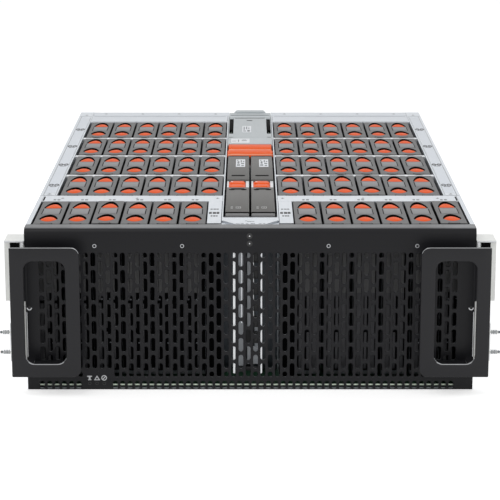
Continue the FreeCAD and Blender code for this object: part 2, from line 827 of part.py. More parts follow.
def fan_rotor():
    """Hub with pitched blades, its shaft turning in the housing's motor plate."""
    x, z = fan_centre()
    rear = chassis_rear - strut_depth - fit_gap
    front = rear - hub_length
    hub = many_sided(hub_radius, hub_sides_per_blade * blade_count, (x, front, z), (0, 1, 0), hub_length)
    middle = (front + rear) / 2
    tip = fan_bore_radius - blade_tip_gap
    blades = []
    for number in range(blade_count):
        blade = block(-blade_thickness / 2, blade_thickness / 2, -blade_chord / 2, blade_chord / 2,
                      hub_radius / 2, tip)
        blade.rotate(Vector(0, 0, 0), Vector(0, 0, 1), blade_angle)
        blade.rotate(Vector(0, 0, 0), Vector(0, 1, 0), number * 360 / blade_count)
        blade.translate(Vector(x, middle, z))
        blades.append(blade)
    shaft = rod(shaft_radius, (x, middle, z), (0, 1, 0), rear + fit_gap + shaft_seat - middle)
    return fused(hub, shaft, *blades)


# ---- telescopic rails ----

def rail_section(depth_in, depth_out, half, opens_inwards):
    """Channel section between two distances from the centre plane, about the rail's middle height."""
    low = rail_centre_height - half
    high = rail_centre_height + half
    sheet = rail_sheet
    if opens_inwards:
        return [(depth_in, low), (depth_out, low), (depth_out, high), (depth_in, high),
                (depth_in, high - sheet), (depth_out - sheet, high - sheet),
                (depth_out - sheet, low + sheet), (depth_in, low + sheet)]
    return [(depth_out, low), (depth_in, low), (depth_in, high), (depth_out, high),
            (depth_out, high - sheet), (depth_in + sheet, high - sheet),
            (depth_in + sheet, low + sheet), (depth_out, low + sheet)]


def rail_members():
    """Inner, middle and outer member of the right-hand rail, nested in one another."""
    rear = chassis_rear - rail_rear_gap
    half = rail_height / 2
    step = rail_sheet + rail_running_gap
    outer_web = half_width - 2 * rail_running_gap
    outer = rail_section(outer_web - rail_flange, outer_web, half, True)
    middle = rail_section(outer_web - rail_flange, outer_web - step, half - step, True)
    inner = rail_section(recess_wall_out, recess_wall_out + rail_flange, half - 2 * step, False)
    return [prism_along_y(section, rail_front, rear) for section in (inner, middle, outer)]


def rack_hole_heights():
    centre = bracket_top - bracket_plate_height / 2
    return centre - rack_hole_pitch / 2, centre + rack_hole_pitch / 2


def rail_bracket():
    """Front bracket: arm past row A, a plate at the rack post, a top flange and two locating pins."""
    outer_web = half_width - 2 * rail_running_gap
    arm_in = half_width + fit_gap
    arm_out = arm_in + rail_sheet
    front = bracket_set_back
    arm = block(arm_in, arm_out, front, arm_reach, arm_bottom, arm_bottom + arm_height)
    riser = block(arm_in, arm_out, front, front + bracket_flange_depth, arm_bottom, bracket_top)
    plate = block(arm_out, bracket_edge, front, front + rail_sheet, bracket_top - bracket_plate_height,
                  bracket_top)
    flange = block(arm_in, bracket_edge, front, front + bracket_flange_depth, bracket_top - rail_sheet,
                   bracket_top)
    pad = block(outer_web, arm_in, arm_reach - rivet_pad_length, arm_reach,
                rail_centre_height - rail_height / 4, rail_centre_height + rail_height / 4)
    pin_reach = bracket_edge - arm_out + pin_length
    pins = [many_sided(pin_radius, pin_sides, (arm_out, front + pin_set_back, height), (1, 0, 0), pin_reach)
            for height in (pin_height, pin_height + pin_spacing)]
    holes = [rod(rack_hole_radius, (bracket_edge - rack_hole_inset, front - overcut, height), (0, 1, 0),
                 rail_sheet + 2 * overcut) for height in rack_hole_heights()]
    return fused(arm, riser, plate, flange, pad, *pins).cut(Part.makeCompound(holes))


# ---- write every piece ----

os.makedirs("parts", exist_ok=True)

save("chassis_floor", chassis_floor())
save("side_walls", *both_sides(side_wall()))
save("side_decks", *both_sides(side_deck()))
save("cross_bars", *both_sides(cross_bar()))
save("row_partitions", *row_partitions())
save("rear_decks", *both_sides(rear_deck()))
save("centre_walls", *both_sides(centre_wall()))
save("tunnel_shelves", tunnel_shelf(lower_shelf_bottom), tunnel_shelf(upper_shelf_bottom))
save("front_apron", front_apron())
save("centre_fillers", *both_sides(centre_filler()))
save("front_bezel", front_bezel())
save("carrying_handles", *both_sides(carrying_handle()))
save("indicator_lights", *[indicator_light(x) for x in indicator_places()])
save("drive_backplane", backplane())
all_rows = ("a",) + back_rows
save("drive_connectors", *[strip for row in all_rows for strip in connector_strips(row)])

loose_drives = (("a", 3), ("b", 9))
raised_drives = (("a", 12), ("b", 10))
drive_numbers = range(1, 2 * drives_per_side + 1)
for row in all_rows:
    bodies = []
    pads = []
    for number in drive_numbers:
        if (row, number) in loose_drives:
            continue
        rise = unlatched_rise if (row, number) in raised_drives else 0
        bodies.append(seated_drive(row, number, rise))
        pads += seated_pads(row, number, rise)
    save("drives_row_" + row, *bodies)
    save("release_pads_row_" + row, *pads)
for row, number in loose_drives:
    name = "drive_" + row + str(number)
    near_start, far_start = pad_starts()
    save(name + "_carrier", loose_carrier(row, number))
    save(name + "_disk", loose_disk(row, number))
    save(name + "_front_pad", loose_pad(row, number, near_start))
    save(name + "_rear_pad", loose_pad(row, number, far_start))

save("expander_right", expander_body())
save("expander_left", to_left(expander_body()))
save("expander_release_right", release_lever())
save("expander_release_left", to_left(release_lever()))
save("io_canister", canister())
save("canister_lever", cross_lever())
for side, bottom in (("lower", lower_psu_bottom), ("upper", upper_psu_bottom)):
    save("psu_" + side, power_supply(bottom))
save("fan_housing_right", fan_housing())
save("fan_housing_left", to_left(fan_housing()))
save("fan_rotor_right", fan_rotor())
save("fan_rotor_left", to_left(fan_rotor()))

inner_rail, middle_rail, outer_rail = rail_members()
save("rail_inner", *both_sides(inner_rail))
for side, turned in (("right", lambda shape: shape), ("left", to_left)):
    save("rail_middle_" + side, turned(middle_rail))
    save("rail_outer_" + side, turned(outer_rail))
    save("rail_bracket_" + side, turned(rail_bracket()))
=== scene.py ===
import json
import math
import bpy
import numpy as np
from mathutils import Matrix, Vector

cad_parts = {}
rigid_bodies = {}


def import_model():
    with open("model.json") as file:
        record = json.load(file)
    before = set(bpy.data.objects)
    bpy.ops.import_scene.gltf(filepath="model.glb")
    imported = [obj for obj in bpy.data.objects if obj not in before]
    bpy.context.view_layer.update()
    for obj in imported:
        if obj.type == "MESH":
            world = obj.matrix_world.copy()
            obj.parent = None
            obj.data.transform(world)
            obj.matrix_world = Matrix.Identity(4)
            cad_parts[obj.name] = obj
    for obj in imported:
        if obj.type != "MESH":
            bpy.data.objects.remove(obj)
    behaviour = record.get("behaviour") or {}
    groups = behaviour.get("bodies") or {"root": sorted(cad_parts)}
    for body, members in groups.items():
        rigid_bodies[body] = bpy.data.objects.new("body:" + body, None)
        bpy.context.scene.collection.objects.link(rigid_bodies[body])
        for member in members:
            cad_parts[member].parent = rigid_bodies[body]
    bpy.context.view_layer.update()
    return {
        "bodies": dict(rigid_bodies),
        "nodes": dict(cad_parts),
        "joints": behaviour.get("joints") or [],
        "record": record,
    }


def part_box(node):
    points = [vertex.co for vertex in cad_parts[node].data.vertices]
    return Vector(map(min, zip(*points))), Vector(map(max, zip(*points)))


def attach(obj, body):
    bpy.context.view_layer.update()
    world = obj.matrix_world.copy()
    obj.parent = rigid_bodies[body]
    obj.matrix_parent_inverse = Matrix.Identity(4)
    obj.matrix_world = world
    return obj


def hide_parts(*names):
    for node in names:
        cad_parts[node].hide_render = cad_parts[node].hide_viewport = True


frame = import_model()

# Lengths below are in millimetres, in shelf coordinates: x to the right, y back from the bezel's face, z up.
mm = 0.001
shelfOrigin = np.array([0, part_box("front_bezel")[0][1] / mm, 0])


def nodeBox(name):
    # lowest and highest corner of a CAD node, in shelf millimetres
    low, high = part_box(name)
    return np.array(low) / mm - shelfOrigin, np.array(high) / mm - shelfOrigin


rowLetters = "abcde"
top = nodeBox("front_bezel")[1][2]
halfWidth = nodeBox("front_bezel")[1][0]


def roundedOutline(halfU, halfV, radius, perCorner=5):
    # rectangle with a quarter circle on each corner, anticlockwise from the right, as a (points, 2) array
    radii = np.clip(np.broadcast_to(radius, 4), 1e-4, min(halfU, halfV))
    turn = np.linspace(0, math.pi / 2, perCorner)
    arcs = [np.stack([np.cos(turn + quarter * math.pi / 2), np.sin(turn + quarter * math.pi / 2)], 1) * r
            + [signU * (halfU - r), signV * (halfV - r)]
            for quarter, (signU, signV, r) in enumerate(zip((1, -1, -1, 1), (1, 1, -1, -1), radii))]
    return np.concatenate(arcs)


def axisPlace(outline, levels, axis):
    # outlines (rings, points, 2) and a level for each ring become points in space, levels along the axis
    rings, count = outline.shape[:2]
    level = np.broadcast_to(np.asarray(levels, float)[:, None], (rings, count))
    u, v = outline[..., 0], outline[..., 1]
    if axis == "z":
        return np.stack([u, v, level], -1)
    if axis == "y":
        return np.stack([u, -level, v], -1)
    return np.stack([level, u, v], -1)


def ringFaces(rings, count):
    # quads between neighbouring closed rings
    ring = np.arange(rings - 1)[:, None] * count
    here = np.arange(count)[None, :]
    after = (here + 1) % count
    return np.stack([ring + here, ring + after, ring + count + after, ring + count + here], -1).reshape(-1, 4)


def capFaces(count, start, upwards):
    # a convex ring closed by a strip of quads across it
    half = count // 2
    i = np.arange(half - 1)
    quads = np.stack([i, i + 1, count - 2 - i, count - 1 - i], -1) + start
    return quads if upwards else quads[:, ::-1]


def stack(outlines, levels, axis="z", capped=(True, True)):
    # closed skin through a pile of outlines, from the lowest level to the highest
    outlines = np.asarray(outlines, float)
    rings, count = outlines.shape[:2]
    points = axisPlace(outlines, levels, axis).reshape(-1, 3)
    faces = [ringFaces(rings, count)]
    if capped[0]:
        faces.append(capFaces(count, 0, False))
    if capped[1]:
        faces.append(capFaces(count, (rings - 1) * count, True))
    return points, np.concatenate(faces)


def softBlock(low, high, radius=1.0, edge=0.4, axis="z", perCorner=4):
    # block with rounded corners seen along the axis and a small round on both end edges
    low, high = np.asarray(low, float), np.asarray(high, float)
    flat = {"z": (0, 1, 2), "y": (0, 2, 1), "x": (1, 2, 0)}[axis]
    middle, half = (low + high) / 2, (high - low) / 2
    halfU, halfV, halfW = half[flat[0]], half[flat[1]], half[flat[2]]
    edge = min(edge, halfU * 0.9, halfV * 0.9, halfW * 0.9)
    inset = np.array([1, 0.3, 0, 0, 0.3, 1]) * edge
    rise = np.array([0, 0.3, 1]) * edge
    levels = np.concatenate([-halfW + rise, halfW - rise[::-1]])
    outlines = [roundedOutline(halfU - i, halfV - i, np.maximum(np.asarray(radius) - i, 0.02), perCorner)
                for i in inset]
    points, faces = stack(outlines, levels, axis)
    return points + middle, faces


def capsule(halfU, low, high, perArc=7, lowSquash=1.0, highSquash=1.0, point=1.0):
    # slot outline with a point at each side's middle: right middle, upper arc, left middle, lower arc;
    # each arc rises as the sine to the power given: 1 is an ellipse, 2 a parabola with pointed ends
    turn = np.linspace(0, math.pi, perArc)
    across, up = np.cos(turn), np.sin(turn) ** point
    low, high, halfU = np.broadcast_arrays(np.atleast_1d(low), np.atleast_1d(high), np.atleast_1d(halfU))
    low, high, halfU = low[:, None], high[:, None], halfU[:, None]
    middle = (low + high + halfU * (lowSquash - highSquash)) / 2
    upper = np.stack([halfU * across, high - halfU * highSquash * (1 - up)], -1)
    lower = np.stack([-halfU * across, low + halfU * lowSquash * (1 - up)], -1)
    right = np.stack([halfU, middle], -1)
    left = np.stack([-halfU, middle], -1)
    return np.concatenate([right, upper, left, lower], 1)


def frameOutline(halfU, low, high, perArc=7):
    # the cell's rectangle with the same count of points as a slot outline
    run = np.linspace(1, -1, perArc)
    halfU, low, high = np.broadcast_arrays(np.atleast_1d(halfU), np.atleast_1d(low), np.atleast_1d(high))
    halfU, low, high = halfU[:, None], low[:, None], high[:, None]
    middle = (low + high) / 2
    upper = np.stack([halfU * run, high + 0 * run], -1)
    lower = np.stack([-halfU * run, low + 0 * run], -1)
    return np.concatenate([np.stack([halfU, middle], -1), upper, np.stack([-halfU, middle], -1), lower], 1)


def pierced(frames, holes, centres, face, back, axis, chamfer=0.25, closed=False):
    # tiles with a hole each, all at once: the face ring, and apart from it the chamfer, the hole's wall and
    # either the back ring or, where closed, the hole's floor
    tiles, count = frames.shape[:2]
    grow = 1 + chamfer / np.abs(holes).max(axis=1, keepdims=True)
    faceRings = [(frames, face), (holes * grow, face)]
    wallRings = [(holes * grow, face), (holes, face - chamfer), (holes, back)]
    if not closed:
        wallRings.append((frames, back))
    piles = []
    for rings in (faceRings, wallRings):
        outlines = np.stack([ring + centres[:, None, :] for ring, _ in rings], 1)
        levels = np.tile([level for _, level in rings], tiles)
        points = axisPlace(outlines.reshape(tiles * len(rings), count, 2), levels, axis).reshape(-1, 3)
        faces = ringFaces(len(rings), count)
        if closed and rings is wallRings:
            faces = np.concatenate([faces, capFaces(count, (len(rings) - 1) * count, True)])
        shifts = np.arange(tiles) * len(rings) * count
        piles.append((points, (faces[None] + shifts[:, None, None]).reshape(-1, 4)))
    return piles


def plainBlock(low, high):
    # block with sharp edges
    return softBlock(low, high, 1e-4, 1e-4, "z", 1)


def blocksOf(boxes, radius, edge, axis="z", perCorner=4, shift=(0, 0, 0)):
    # soft blocks from a table, each row as x from, x to, y from, y to, z from, z to, all moved by the shift
    shift = np.asarray(shift, float)
    return [softBlock(shift + [x0, y0, z0], shift + [x1, y1, z1], radius, edge, axis, perCorner)
            for x0, x1, y0, y1, z0, z1 in boxes]


def circles(radii, centre=(0, 0), count=16):
    # one circle for each radius about a centre, as a (radii, count, 2) array
    turn = np.linspace(0, 2 * math.pi, count, endpoint=False)
    circle = np.stack([np.cos(turn), np.sin(turn)], 1)
    return circle * np.asarray(radii, float)[:, None, None] + np.asarray(centre)


def prism(profile, start, end, axis="x"):
    # a closed outline drawn out between two places along an axis
    profile = np.asarray(profile, float)
    if axis == "y":
        start, end = -end, -start
    turning = np.cross(profile, np.roll(profile, -1, 0)).sum()
    profile = profile if turning > 0 else profile[::-1]
    count = len(profile)
    points = axisPlace(np.stack([profile, profile]), [start, end], axis).reshape(-1, 3)
    sides = [list(q) for q in ringFaces(2, count)]
    return points, sides + [list(range(count))[::-1], list(range(count, 2 * count))]


def repeated(piece, shifts):
    # copies of a piece at each shift, as one pile
    points, faces = piece
    shifts = np.atleast_2d(np.asarray(shifts, float))
    many = (points[None] + shifts[:, None]).reshape(-1, 3)
    offsets = np.arange(len(shifts)) * len(points)
    if isinstance(faces, np.ndarray):
        return many, (faces[None] + offsets[:, None, None]).reshape(-1, faces.shape[1])
    return many, [[i + o for i in face] for o in offsets for face in faces]


def mirrored(piece):
    # the same piece on the other side of the middle plane, with its faces turned the right way out
    points, faces = piece
    return points * [-1, 1, 1], turnedFaces(faces)


def turnedFaces(faces):
    # the same faces seen from their other side
    return [list(face)[::-1] for face in faces]


def facingRear(pile, place):
    # a pile that looks up, stood so that it looks to the rear, with its origin at a place
    points, faces = pile
    x, y, z = place
    return np.stack([points[:, 0] + x, points[:, 2] + y, points[:, 1] + z], 1), turnedFaces(faces)


def facingRight(pile, place):
    # a pile that looks up, laid so that it looks to the right, with its origin at a place
    points, faces = pile
    x, y, z = place
    return np.stack([points[:, 2] + x, points[:, 0] + y, points[:, 1] + z], 1), faces


def joined(*pieces):
    # several piles as one
    points, faces, start = [], [], 0
    for piecePoints, pieceFaces in pieces:
        points.append(piecePoints)
        plain = pieceFaces.tolist() if isinstance(pieceFaces, np.ndarray) else pieceFaces
        faces += [[i + start for i in face] for face in plain]
        start += len(piecePoints)
    return np.concatenate(points), faces


def makePiece(name, pile, material, body, stands=(), smooth=35):
    # one object from a pile; several piles with a material each may be given as a list
    piles = pile if isinstance(pile, list) else [pile]
    materials = material if isinstance(material, list) else [material]
    points, faces = joined(*piles)
    counts = [len(p[1]) for p in piles]
    mesh = bpy.data.meshes.new(name)
    mesh.from_pydata(((points + shelfOrigin) * mm).tolist(), [], [tuple(f) for f in faces])
    for m in materials:
        mesh.materials.append(m)
    index = np.repeat(np.arange(len(piles)) % len(materials), counts).astype(np.int32)
    mesh.polygons.foreach_set("material_index", index)
    mesh.update()
    if smooth:
        mesh.shade_smooth()
        mesh.set_sharp_from_angle(angle=math.radians(smooth))
    piece = bpy.data.objects.new(name, mesh)
    bpy.context.scene.collection.objects.link(piece)
    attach(piece, body)
    if stands:
        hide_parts(*stands)
    return piece


class Shade:
    # wraps a socket, so that shader maths reads as Python
    def __init__(self, tree, socket):
        self.tree, self.socket = tree, socket

    def maths(self, operation, *values):
        return node(self.tree, "ShaderNodeMath", {"operation": operation}, dict(enumerate(values)))[0]

    def __add__(self, other):
        return self.maths("ADD", self, other)

    def __radd__(self, other):
        return self.maths("ADD", other, self)

    def __sub__(self, other):
        return self.maths("SUBTRACT", self, other)

    def __mul__(self, other):
        return self.maths("MULTIPLY", self, other)

    def __gt__(self, other):
        return self.maths("GREATER_THAN", self, other)

    def __lt__(self, other):
        return self.maths("LESS_THAN", self, other)


def node(tree, kind, settings=None, inputs=None):
    # any other node: its settings first, then its sockets' values or links; gives its outputs
    made = tree.nodes.new(kind)
    for key, value in (settings or {}).items():
        setattr(made, key, value)
    for key, value in (inputs or {}).items():
        if isinstance(value, Shade):
            tree.links.new(value.socket, made.inputs[key])
        elif value is not None:
            made.inputs[key].default_value = value
    return [Shade(tree, out) for out in made.outputs]


def linear(shade):
    # display grey or colour, 0 to 255, as linear light
    values = np.atleast_1d(np.asarray(shade, float)) / 255
    values = np.where(values <= 0.04045, values / 12.92, ((values + 0.055) / 1.055) ** 2.4)
    if len(values) == 1:
        values = np.repeat(values, 3)
    return (*[float(v) for v in values], 1.0)


def noise(tree, where, scale, detail=3.0, rough=0.5, stretch=(1, 1, 1)):
    # cloudy pattern of a size, stretched along each axis
    moved = node(tree, "ShaderNodeMapping", {}, {"Vector": where, "Scale": stretch})[0]
    return node(tree, "ShaderNodeTexNoise", {}, {"Vector": moved, "Scale": scale, "Detail": detail,
                                                 "Roughness": rough})[0]


def blended(tree, factor, first, second):
    # one colour turned into another by a factor
    return node(tree, "ShaderNodeMix", {"data_type": "RGBA"}, {0: factor, 6: first, 7: second})[2]


def normalPart(tree, axis):
    # how far a surface looks along x, y or z, as -1 to 1; the axes count from 0
    normal = node(tree, "ShaderNodeNewGeometry")[1]
    return node(tree, "ShaderNodeSeparateXYZ", {}, {0: normal})[axis]


def finish(name, colour, second, roughness, metallic=0.0, grain=600.0, stretch=(1, 1, 1), variation=0.5,
           roughSwing=0.12, bump=0.15, bumpDepth=0.0002, patchScale=9.0, coat=0.0, specular=0.5,
           highlight=None, glow=0.0):
    # base colour drifts between two tones in broad patches and fine grain, which also move the roughness;
    # a highlight is a colour, its weight and the two heights of the normal between which it shows in patches;
    # fine grain is the bump as well; glow gives out the base colour as painted light on parts that are no
    # lamps
    material = bpy.data.materials.new(name)
    material.use_nodes = True
    tree = material.node_tree
    shader = tree.nodes["Principled BSDF"]
    where = node(tree, "ShaderNodeTexCoord")[3]
    fine = noise(tree, where, grain, 4.0, 0.6, stretch)
    broad = noise(tree, where, patchScale, 3.0, 0.55)
    mixed = blended(tree, (fine * 0.6 + broad * 0.8 - 0.2) * variation, linear(colour), linear(second))
    if highlight is not None:
        tint, weight, lowest, highest = highlight
        upward = normalPart(tree, 2)
        share = (upward > lowest) * (upward < highest) * (broad * 0.9) * weight
        mixed = blended(tree, share, mixed, linear(tint))
    tree.links.new(mixed.socket, shader.inputs["Base Color"])
    tree.links.new((roughness + (fine - 0.5) * roughSwing + (broad - 0.5) * roughSwing * 0.6).socket,
                   shader.inputs["Roughness"])
    shader.inputs["Metallic"].default_value = metallic
    shader.inputs["Coat Weight"].default_value = coat
    shader.inputs["Specular IOR Level"].default_value = specular
    if glow:
        tree.links.new(mixed.socket, shader.inputs["Emission Color"])
        shader.inputs["Emission Strength"].default_value = glow
    bumped = node(tree, "ShaderNodeBump", {}, {"Strength": bump, "Distance": bumpDepth, "Height": fine})[0]
    tree.links.new(bumped.socket, shader.inputs["Normal"])
    return material


def edgedBoard(name, face, edge):
    # board laminate: faces that look forward take the pale edge colour
    material = finish(name, face, face, 0.4, grain=700, variation=0.9)
    tree = material.node_tree
    shader = tree.nodes["Principled BSDF"]
    body = Shade(tree, shader.inputs["Base Color"].links[0].from_socket)
    mixed = blended(tree, normalPart(tree, 1) < -0.9, body, linear(edge))
    tree.links.new(mixed.socket, shader.inputs["Base Color"])
    return material


print("materials")
steelSheet = finish("zincSheet", (208, 212, 217), (184, 190, 196), 0.42, 0.75, grain=260,
                    stretch=(1, 0.12, 1), variation=0.7, patchScale=26, bump=0.05)
bezelCoat = finish("bezelCoat", (21, 21, 24), (27, 27, 30), 0.36, grain=1500, variation=0.6, bump=0.35,
                   bumpDepth=0.00008, patchScale=14, specular=0.2, highlight=((150, 152, 155), 1.0, 0.9, 2.0))
handleCoat = finish("handleCoat", (27, 27, 30), (33, 33, 36), 0.34, grain=1500, variation=0.6, bump=0.35,
                    bumpDepth=0.00008, patchScale=14, specular=0.28,
                    highlight=((225, 227, 230), 1.3, 0.3, 0.96))
bracketPlate = finish("bracketPlate", (240, 241, 238), (230, 231, 228), 0.4, 0.1, grain=400, variation=0.6)
railSteel = finish("railSteel", (196, 200, 205), (168, 172, 178), 0.36, 0.85, grain=300, stretch=(1, 0.05, 1))
carrierGrey = finish("carrierGrey", (100, 100, 101), (110, 110, 111), 0.55, grain=1300, variation=0.5,
                     bump=0.3, bumpDepth=0.0001, specular=0.3)
carrierLabel = finish("carrierLabelPlate", (138, 138, 140), (130, 130, 132), 0.6, grain=900, variation=0.4)
# near black: painted shade in holes, slots, vents, gaps and recesses, and the own colour of a few black parts
blackAndShade = finish("blackAndPaintedShade", (4, 4, 5), (9, 9, 10), 0.8, grain=500, specular=0.05)
orange = finish("releaseOrange", (236, 80, 0), (244, 100, 4), 0.5, grain=1100, variation=0.6, bump=0.12,
                bumpDepth=0.0001, specular=0.12)
leverOrange = finish("leverOrange", (244, 88, 0), (250, 104, 6), 0.42, grain=1100, variation=0.5, bump=0.05,
                     bumpDepth=0.0001, specular=0.12, highlight=((255, 205, 178), 1.6, 0.66, 0.9))
moduleGrey = finish("moduleGrey", (90, 89, 87), (98, 97, 95), 0.5, grain=1200, variation=0.5, bump=0.3,
                    bumpDepth=0.0001, specular=0.25)
whiteLabel = finish("whiteLabel", (236, 239, 243), (228, 231, 236), 0.5, grain=500, variation=0.5, bump=0.03)
paleLabel = finish("paleLabel", (222, 227, 234), (214, 220, 228), 0.5, grain=500, variation=0.5, bump=0.03)
printInk = finish("printInk", (24, 25, 28), (34, 35, 38), 0.6, grain=500)
paleInk = finish("paleInk", (176, 176, 176), (160, 160, 160), 0.6, grain=500)
canisterSteel = finish("canisterSteel", (176, 182, 185), (162, 169, 172), 0.42, 0.4, grain=260,
                       stretch=(1, 0.12, 1), variation=0.6)
boardGreen = edgedBoard("boardGreen", (34, 70, 48), (226, 240, 222))
moulding = finish("blackMoulding", (26, 26, 27), (34, 34, 36), 0.5, grain=900)
diskCase = finish("diskCase", (120, 123, 127), (100, 103, 108), 0.42, 0.7, grain=300)
driveFace = finish("driveFace", (56, 56, 60), (92, 92, 96), 0.5, grain=900, variation=0.6, bump=0.2)
# near white with little metal: the steel's pale tone with its highlight painted in
partitionSteel = finish("partitionSteel", (240, 242, 245), (228, 231, 235), 0.36, 0.15, grain=260,
                        stretch=(0.1, 1, 1), variation=0.7, patchScale=30, bump=0.05)
rearSteel = finish("rearSteel", (204, 209, 215), (188, 193, 200), 0.4, 0.6, grain=260, stretch=(0.1, 1, 1),
                   variation=0.7, patchScale=30, bump=0.05)
# the guides and panels behind the grille glow a little: painted light for the light that falls on them from
# above
glowingGuideWhite = finish("glowingGuideWhite", (236, 238, 240), (226, 228, 231), 0.4, grain=500, variation=0.5, glow=0.35)
glowingGuideGrey = finish("glowingGuideGrey", (150, 153, 157), (134, 138, 142), 0.45, grain=500, variation=0.7, glow=0.16)
whitePlate = finish("whitePlate", (232, 234, 236), (222, 224, 227), 0.4, grain=500, variation=0.5, bump=0.04)
greyPanel = finish("greyPanel", (150, 152, 155), (136, 138, 141), 0.45, grain=500, variation=0.7)
# dark slate grey: painted shade on sheets behind the grille's middle and on the apron's fold
shadeSlate = finish("shadeSlate", (44, 48, 53), (54, 59, 64), 0.45, grain=500, variation=0.7)
seamGrey = finish("seamGrey", (128, 132, 137), (112, 116, 121), 0.55, grain=500)
printWhite = finish("printWhite", (206, 208, 210), (192, 194, 197), 0.6, grain=500)
bladeBlack = finish("bladeBlack", (38, 39, 42), (48, 49, 52), 0.38, grain=900, variation=0.6)
goldPin = finish("contactGold", (214, 176, 92), (196, 158, 76), 0.3, 0.9, grain=600)
lamp = finish("lightPipe", (206, 216, 212), (188, 200, 196), 0.25, grain=400, coat=0.4)
screwSteel = finish("screwSteel", (190, 192, 195), (150, 153, 157), 0.3, 0.9, grain=600)


cameraSet = {"place": (-1.25, -1856.3, 596.1), "pitch": 13.716, "yaw": -0.03, "lens": 140.4}
lightSet = {"sky": 0.55, "key": 11.0, "fill": 8.0, "rim": 4.0, "floorGlow": 0.5, "floorReach": 6.0}

print("camera and light")
scene = bpy.context.scene
scene.view_settings.view_transform = "Standard"
cameraData = bpy.data.cameras.new("camera")
cameraData.lens = cameraSet["lens"]
cameraData.sensor_width = 36
cameraData.clip_start = 0.05
camera = bpy.data.objects.new("camera", cameraData)
camera.location = (np.array(cameraSet["place"]) + shelfOrigin) * mm
camera.rotation_euler = (math.radians(90 - cameraSet["pitch"]), 0, math.radians(cameraSet["yaw"]))
scene.collection.objects.link(camera)
scene.camera = camera


def softLight(name, place, aim, size, power):
    # flat lamp at a place, in metres, that looks at its aim
    data = bpy.data.lights.new(name, "AREA")
    data.shape = "RECTANGLE"
    data.size, data.size_y = size
    data.energy = power
    light = bpy.data.objects.new(name, data)
    light.location = place
    light.rotation_euler = (Vector(aim) - Vector(place)).to_track_quat("-Z", "Y").to_euler()
    scene.collection.objects.link(light)


softLight("keyLight", (-0.9, -0.9, 1.9), (0, 0, 0.1), (1.6, 1.2), lightSet["key"])
softLight("fillLight", (1.5, -1.6, 0.9), (0, 0, 0.08), (1.4, 1.0), lightSet["fill"])
softLight("rearLight", (0.3, 1.6, 1.5), (0, 0, 0.1), (1.8, 1.0), lightSet["rim"])


def plainRays(tree):
    # 1 for rays from the camera and for glossy and clear ones, which see plain white; 0 for the rest
    rays = node(tree, "ShaderNodeLightPath")
    return rays[0] + rays[3] + rays[6]


world = bpy.data.worlds.new("studio")
scene.world = world
world.use_nodes = True
sky = world.node_tree
sky.nodes.clear()
plainSky = node(sky, "ShaderNodeBackground", {}, {0: (1, 1, 1, 1), 1: lightSet["sky"]})[0]
whiteSky = node(sky, "ShaderNodeBackground", {}, {0: (1, 1, 1, 1), 1: 1.0})[0]
skyMix = node(sky, "ShaderNodeMixShader", {}, {0: plainRays(sky), 1: plainSky, 2: whiteSky})[0]
node(sky, "ShaderNodeOutputWorld", {}, {0: skyMix})

floorMesh = bpy.data.meshes.new("studioFloor")
reach = lightSet["floorReach"]
floorMesh.from_pydata([(-reach, -reach, 0), (reach, -reach, 0), (reach, reach, 0), (-reach, reach, 0)], [],
                      [(0, 1, 2, 3)])
floor = bpy.data.objects.new("studioFloor", floorMesh)
floor.location.z = -0.0002
scene.collection.objects.link(floor)
floorMaterial = bpy.data.materials.new("studioFloorWhite")
floorMaterial.use_nodes = True
floorTree = floorMaterial.node_tree
floorShader = floorTree.nodes["Principled BSDF"]
floorShader.inputs["Base Color"].default_value = (0.86, 0.86, 0.86, 1)
floorShader.inputs["Roughness"].default_value = 0.9
plainFloor = Shade(floorTree, floorShader.outputs[0])
floorGlow = node(floorTree, "ShaderNodeEmission", {}, {0: (1, 1, 1, 1), 1: lightSet["floorGlow"]})[0]
floorSum = node(floorTree, "ShaderNodeAddShader", {}, {0: plainFloor, 1: floorGlow})[0]
floorMix = node(floorTree, "ShaderNodeMixShader", {}, {0: plainRays(floorTree), 1: plainFloor,
                                                       2: floorSum})[0]
floorTree.links.new(floorMix.socket, floorTree.nodes["Material Output"].inputs[0])
floorMesh.materials.append(floorMaterial)


def paint(material, *nodes):
    # the CAD node keeps its mesh and takes a finished material
    for name in nodes:
        slots = frame["nodes"][name].data.materials
        slots.clear()
        slots.append(material)


print("sheets and rails")
paint(partitionSteel, "row_partitions")
paint(steelSheet, "side_walls", "side_decks", "cross_bars", "rear_decks", "centre_walls",
      "tunnel_shelves", "front_apron", "centre_fillers", "chassis_floor")
paint(railSteel, "rail_inner", "rail_middle_right", "rail_middle_left", "rail_outer_right", "rail_outer_left")
paint(bracketPlate, "rail_bracket_right", "rail_bracket_left")
paint(boardGreen, "drive_backplane")
paint(moulding, "drive_connectors", "fan_housing_right", "fan_housing_left", "fan_rotor_right",
      "fan_rotor_left")
paint(lamp, "indicator_lights")
paint(canisterSteel, "io_canister", "psu_lower", "psu_upper")
paint(orange, "canister_lever", "expander_release_right", "expander_release_left")
paint(moduleGrey, "expander_right", "expander_left")


bezelSet = {"sheet": 2.0, "pitch": 7.267, "offset": -2.03, "columns": 28, "halfStep": 8.7, "base": 11.3,
            "slotHalf": 2.35, "margin": 1.6, "steps": 15, "roll": 6.0, "rim": 18.6, "archLow": 0.7,
            "archHigh": 8.7, "archRuns": ((-29, -23), (-19, 28)), "lampZone": (-165.5, -139.5)}


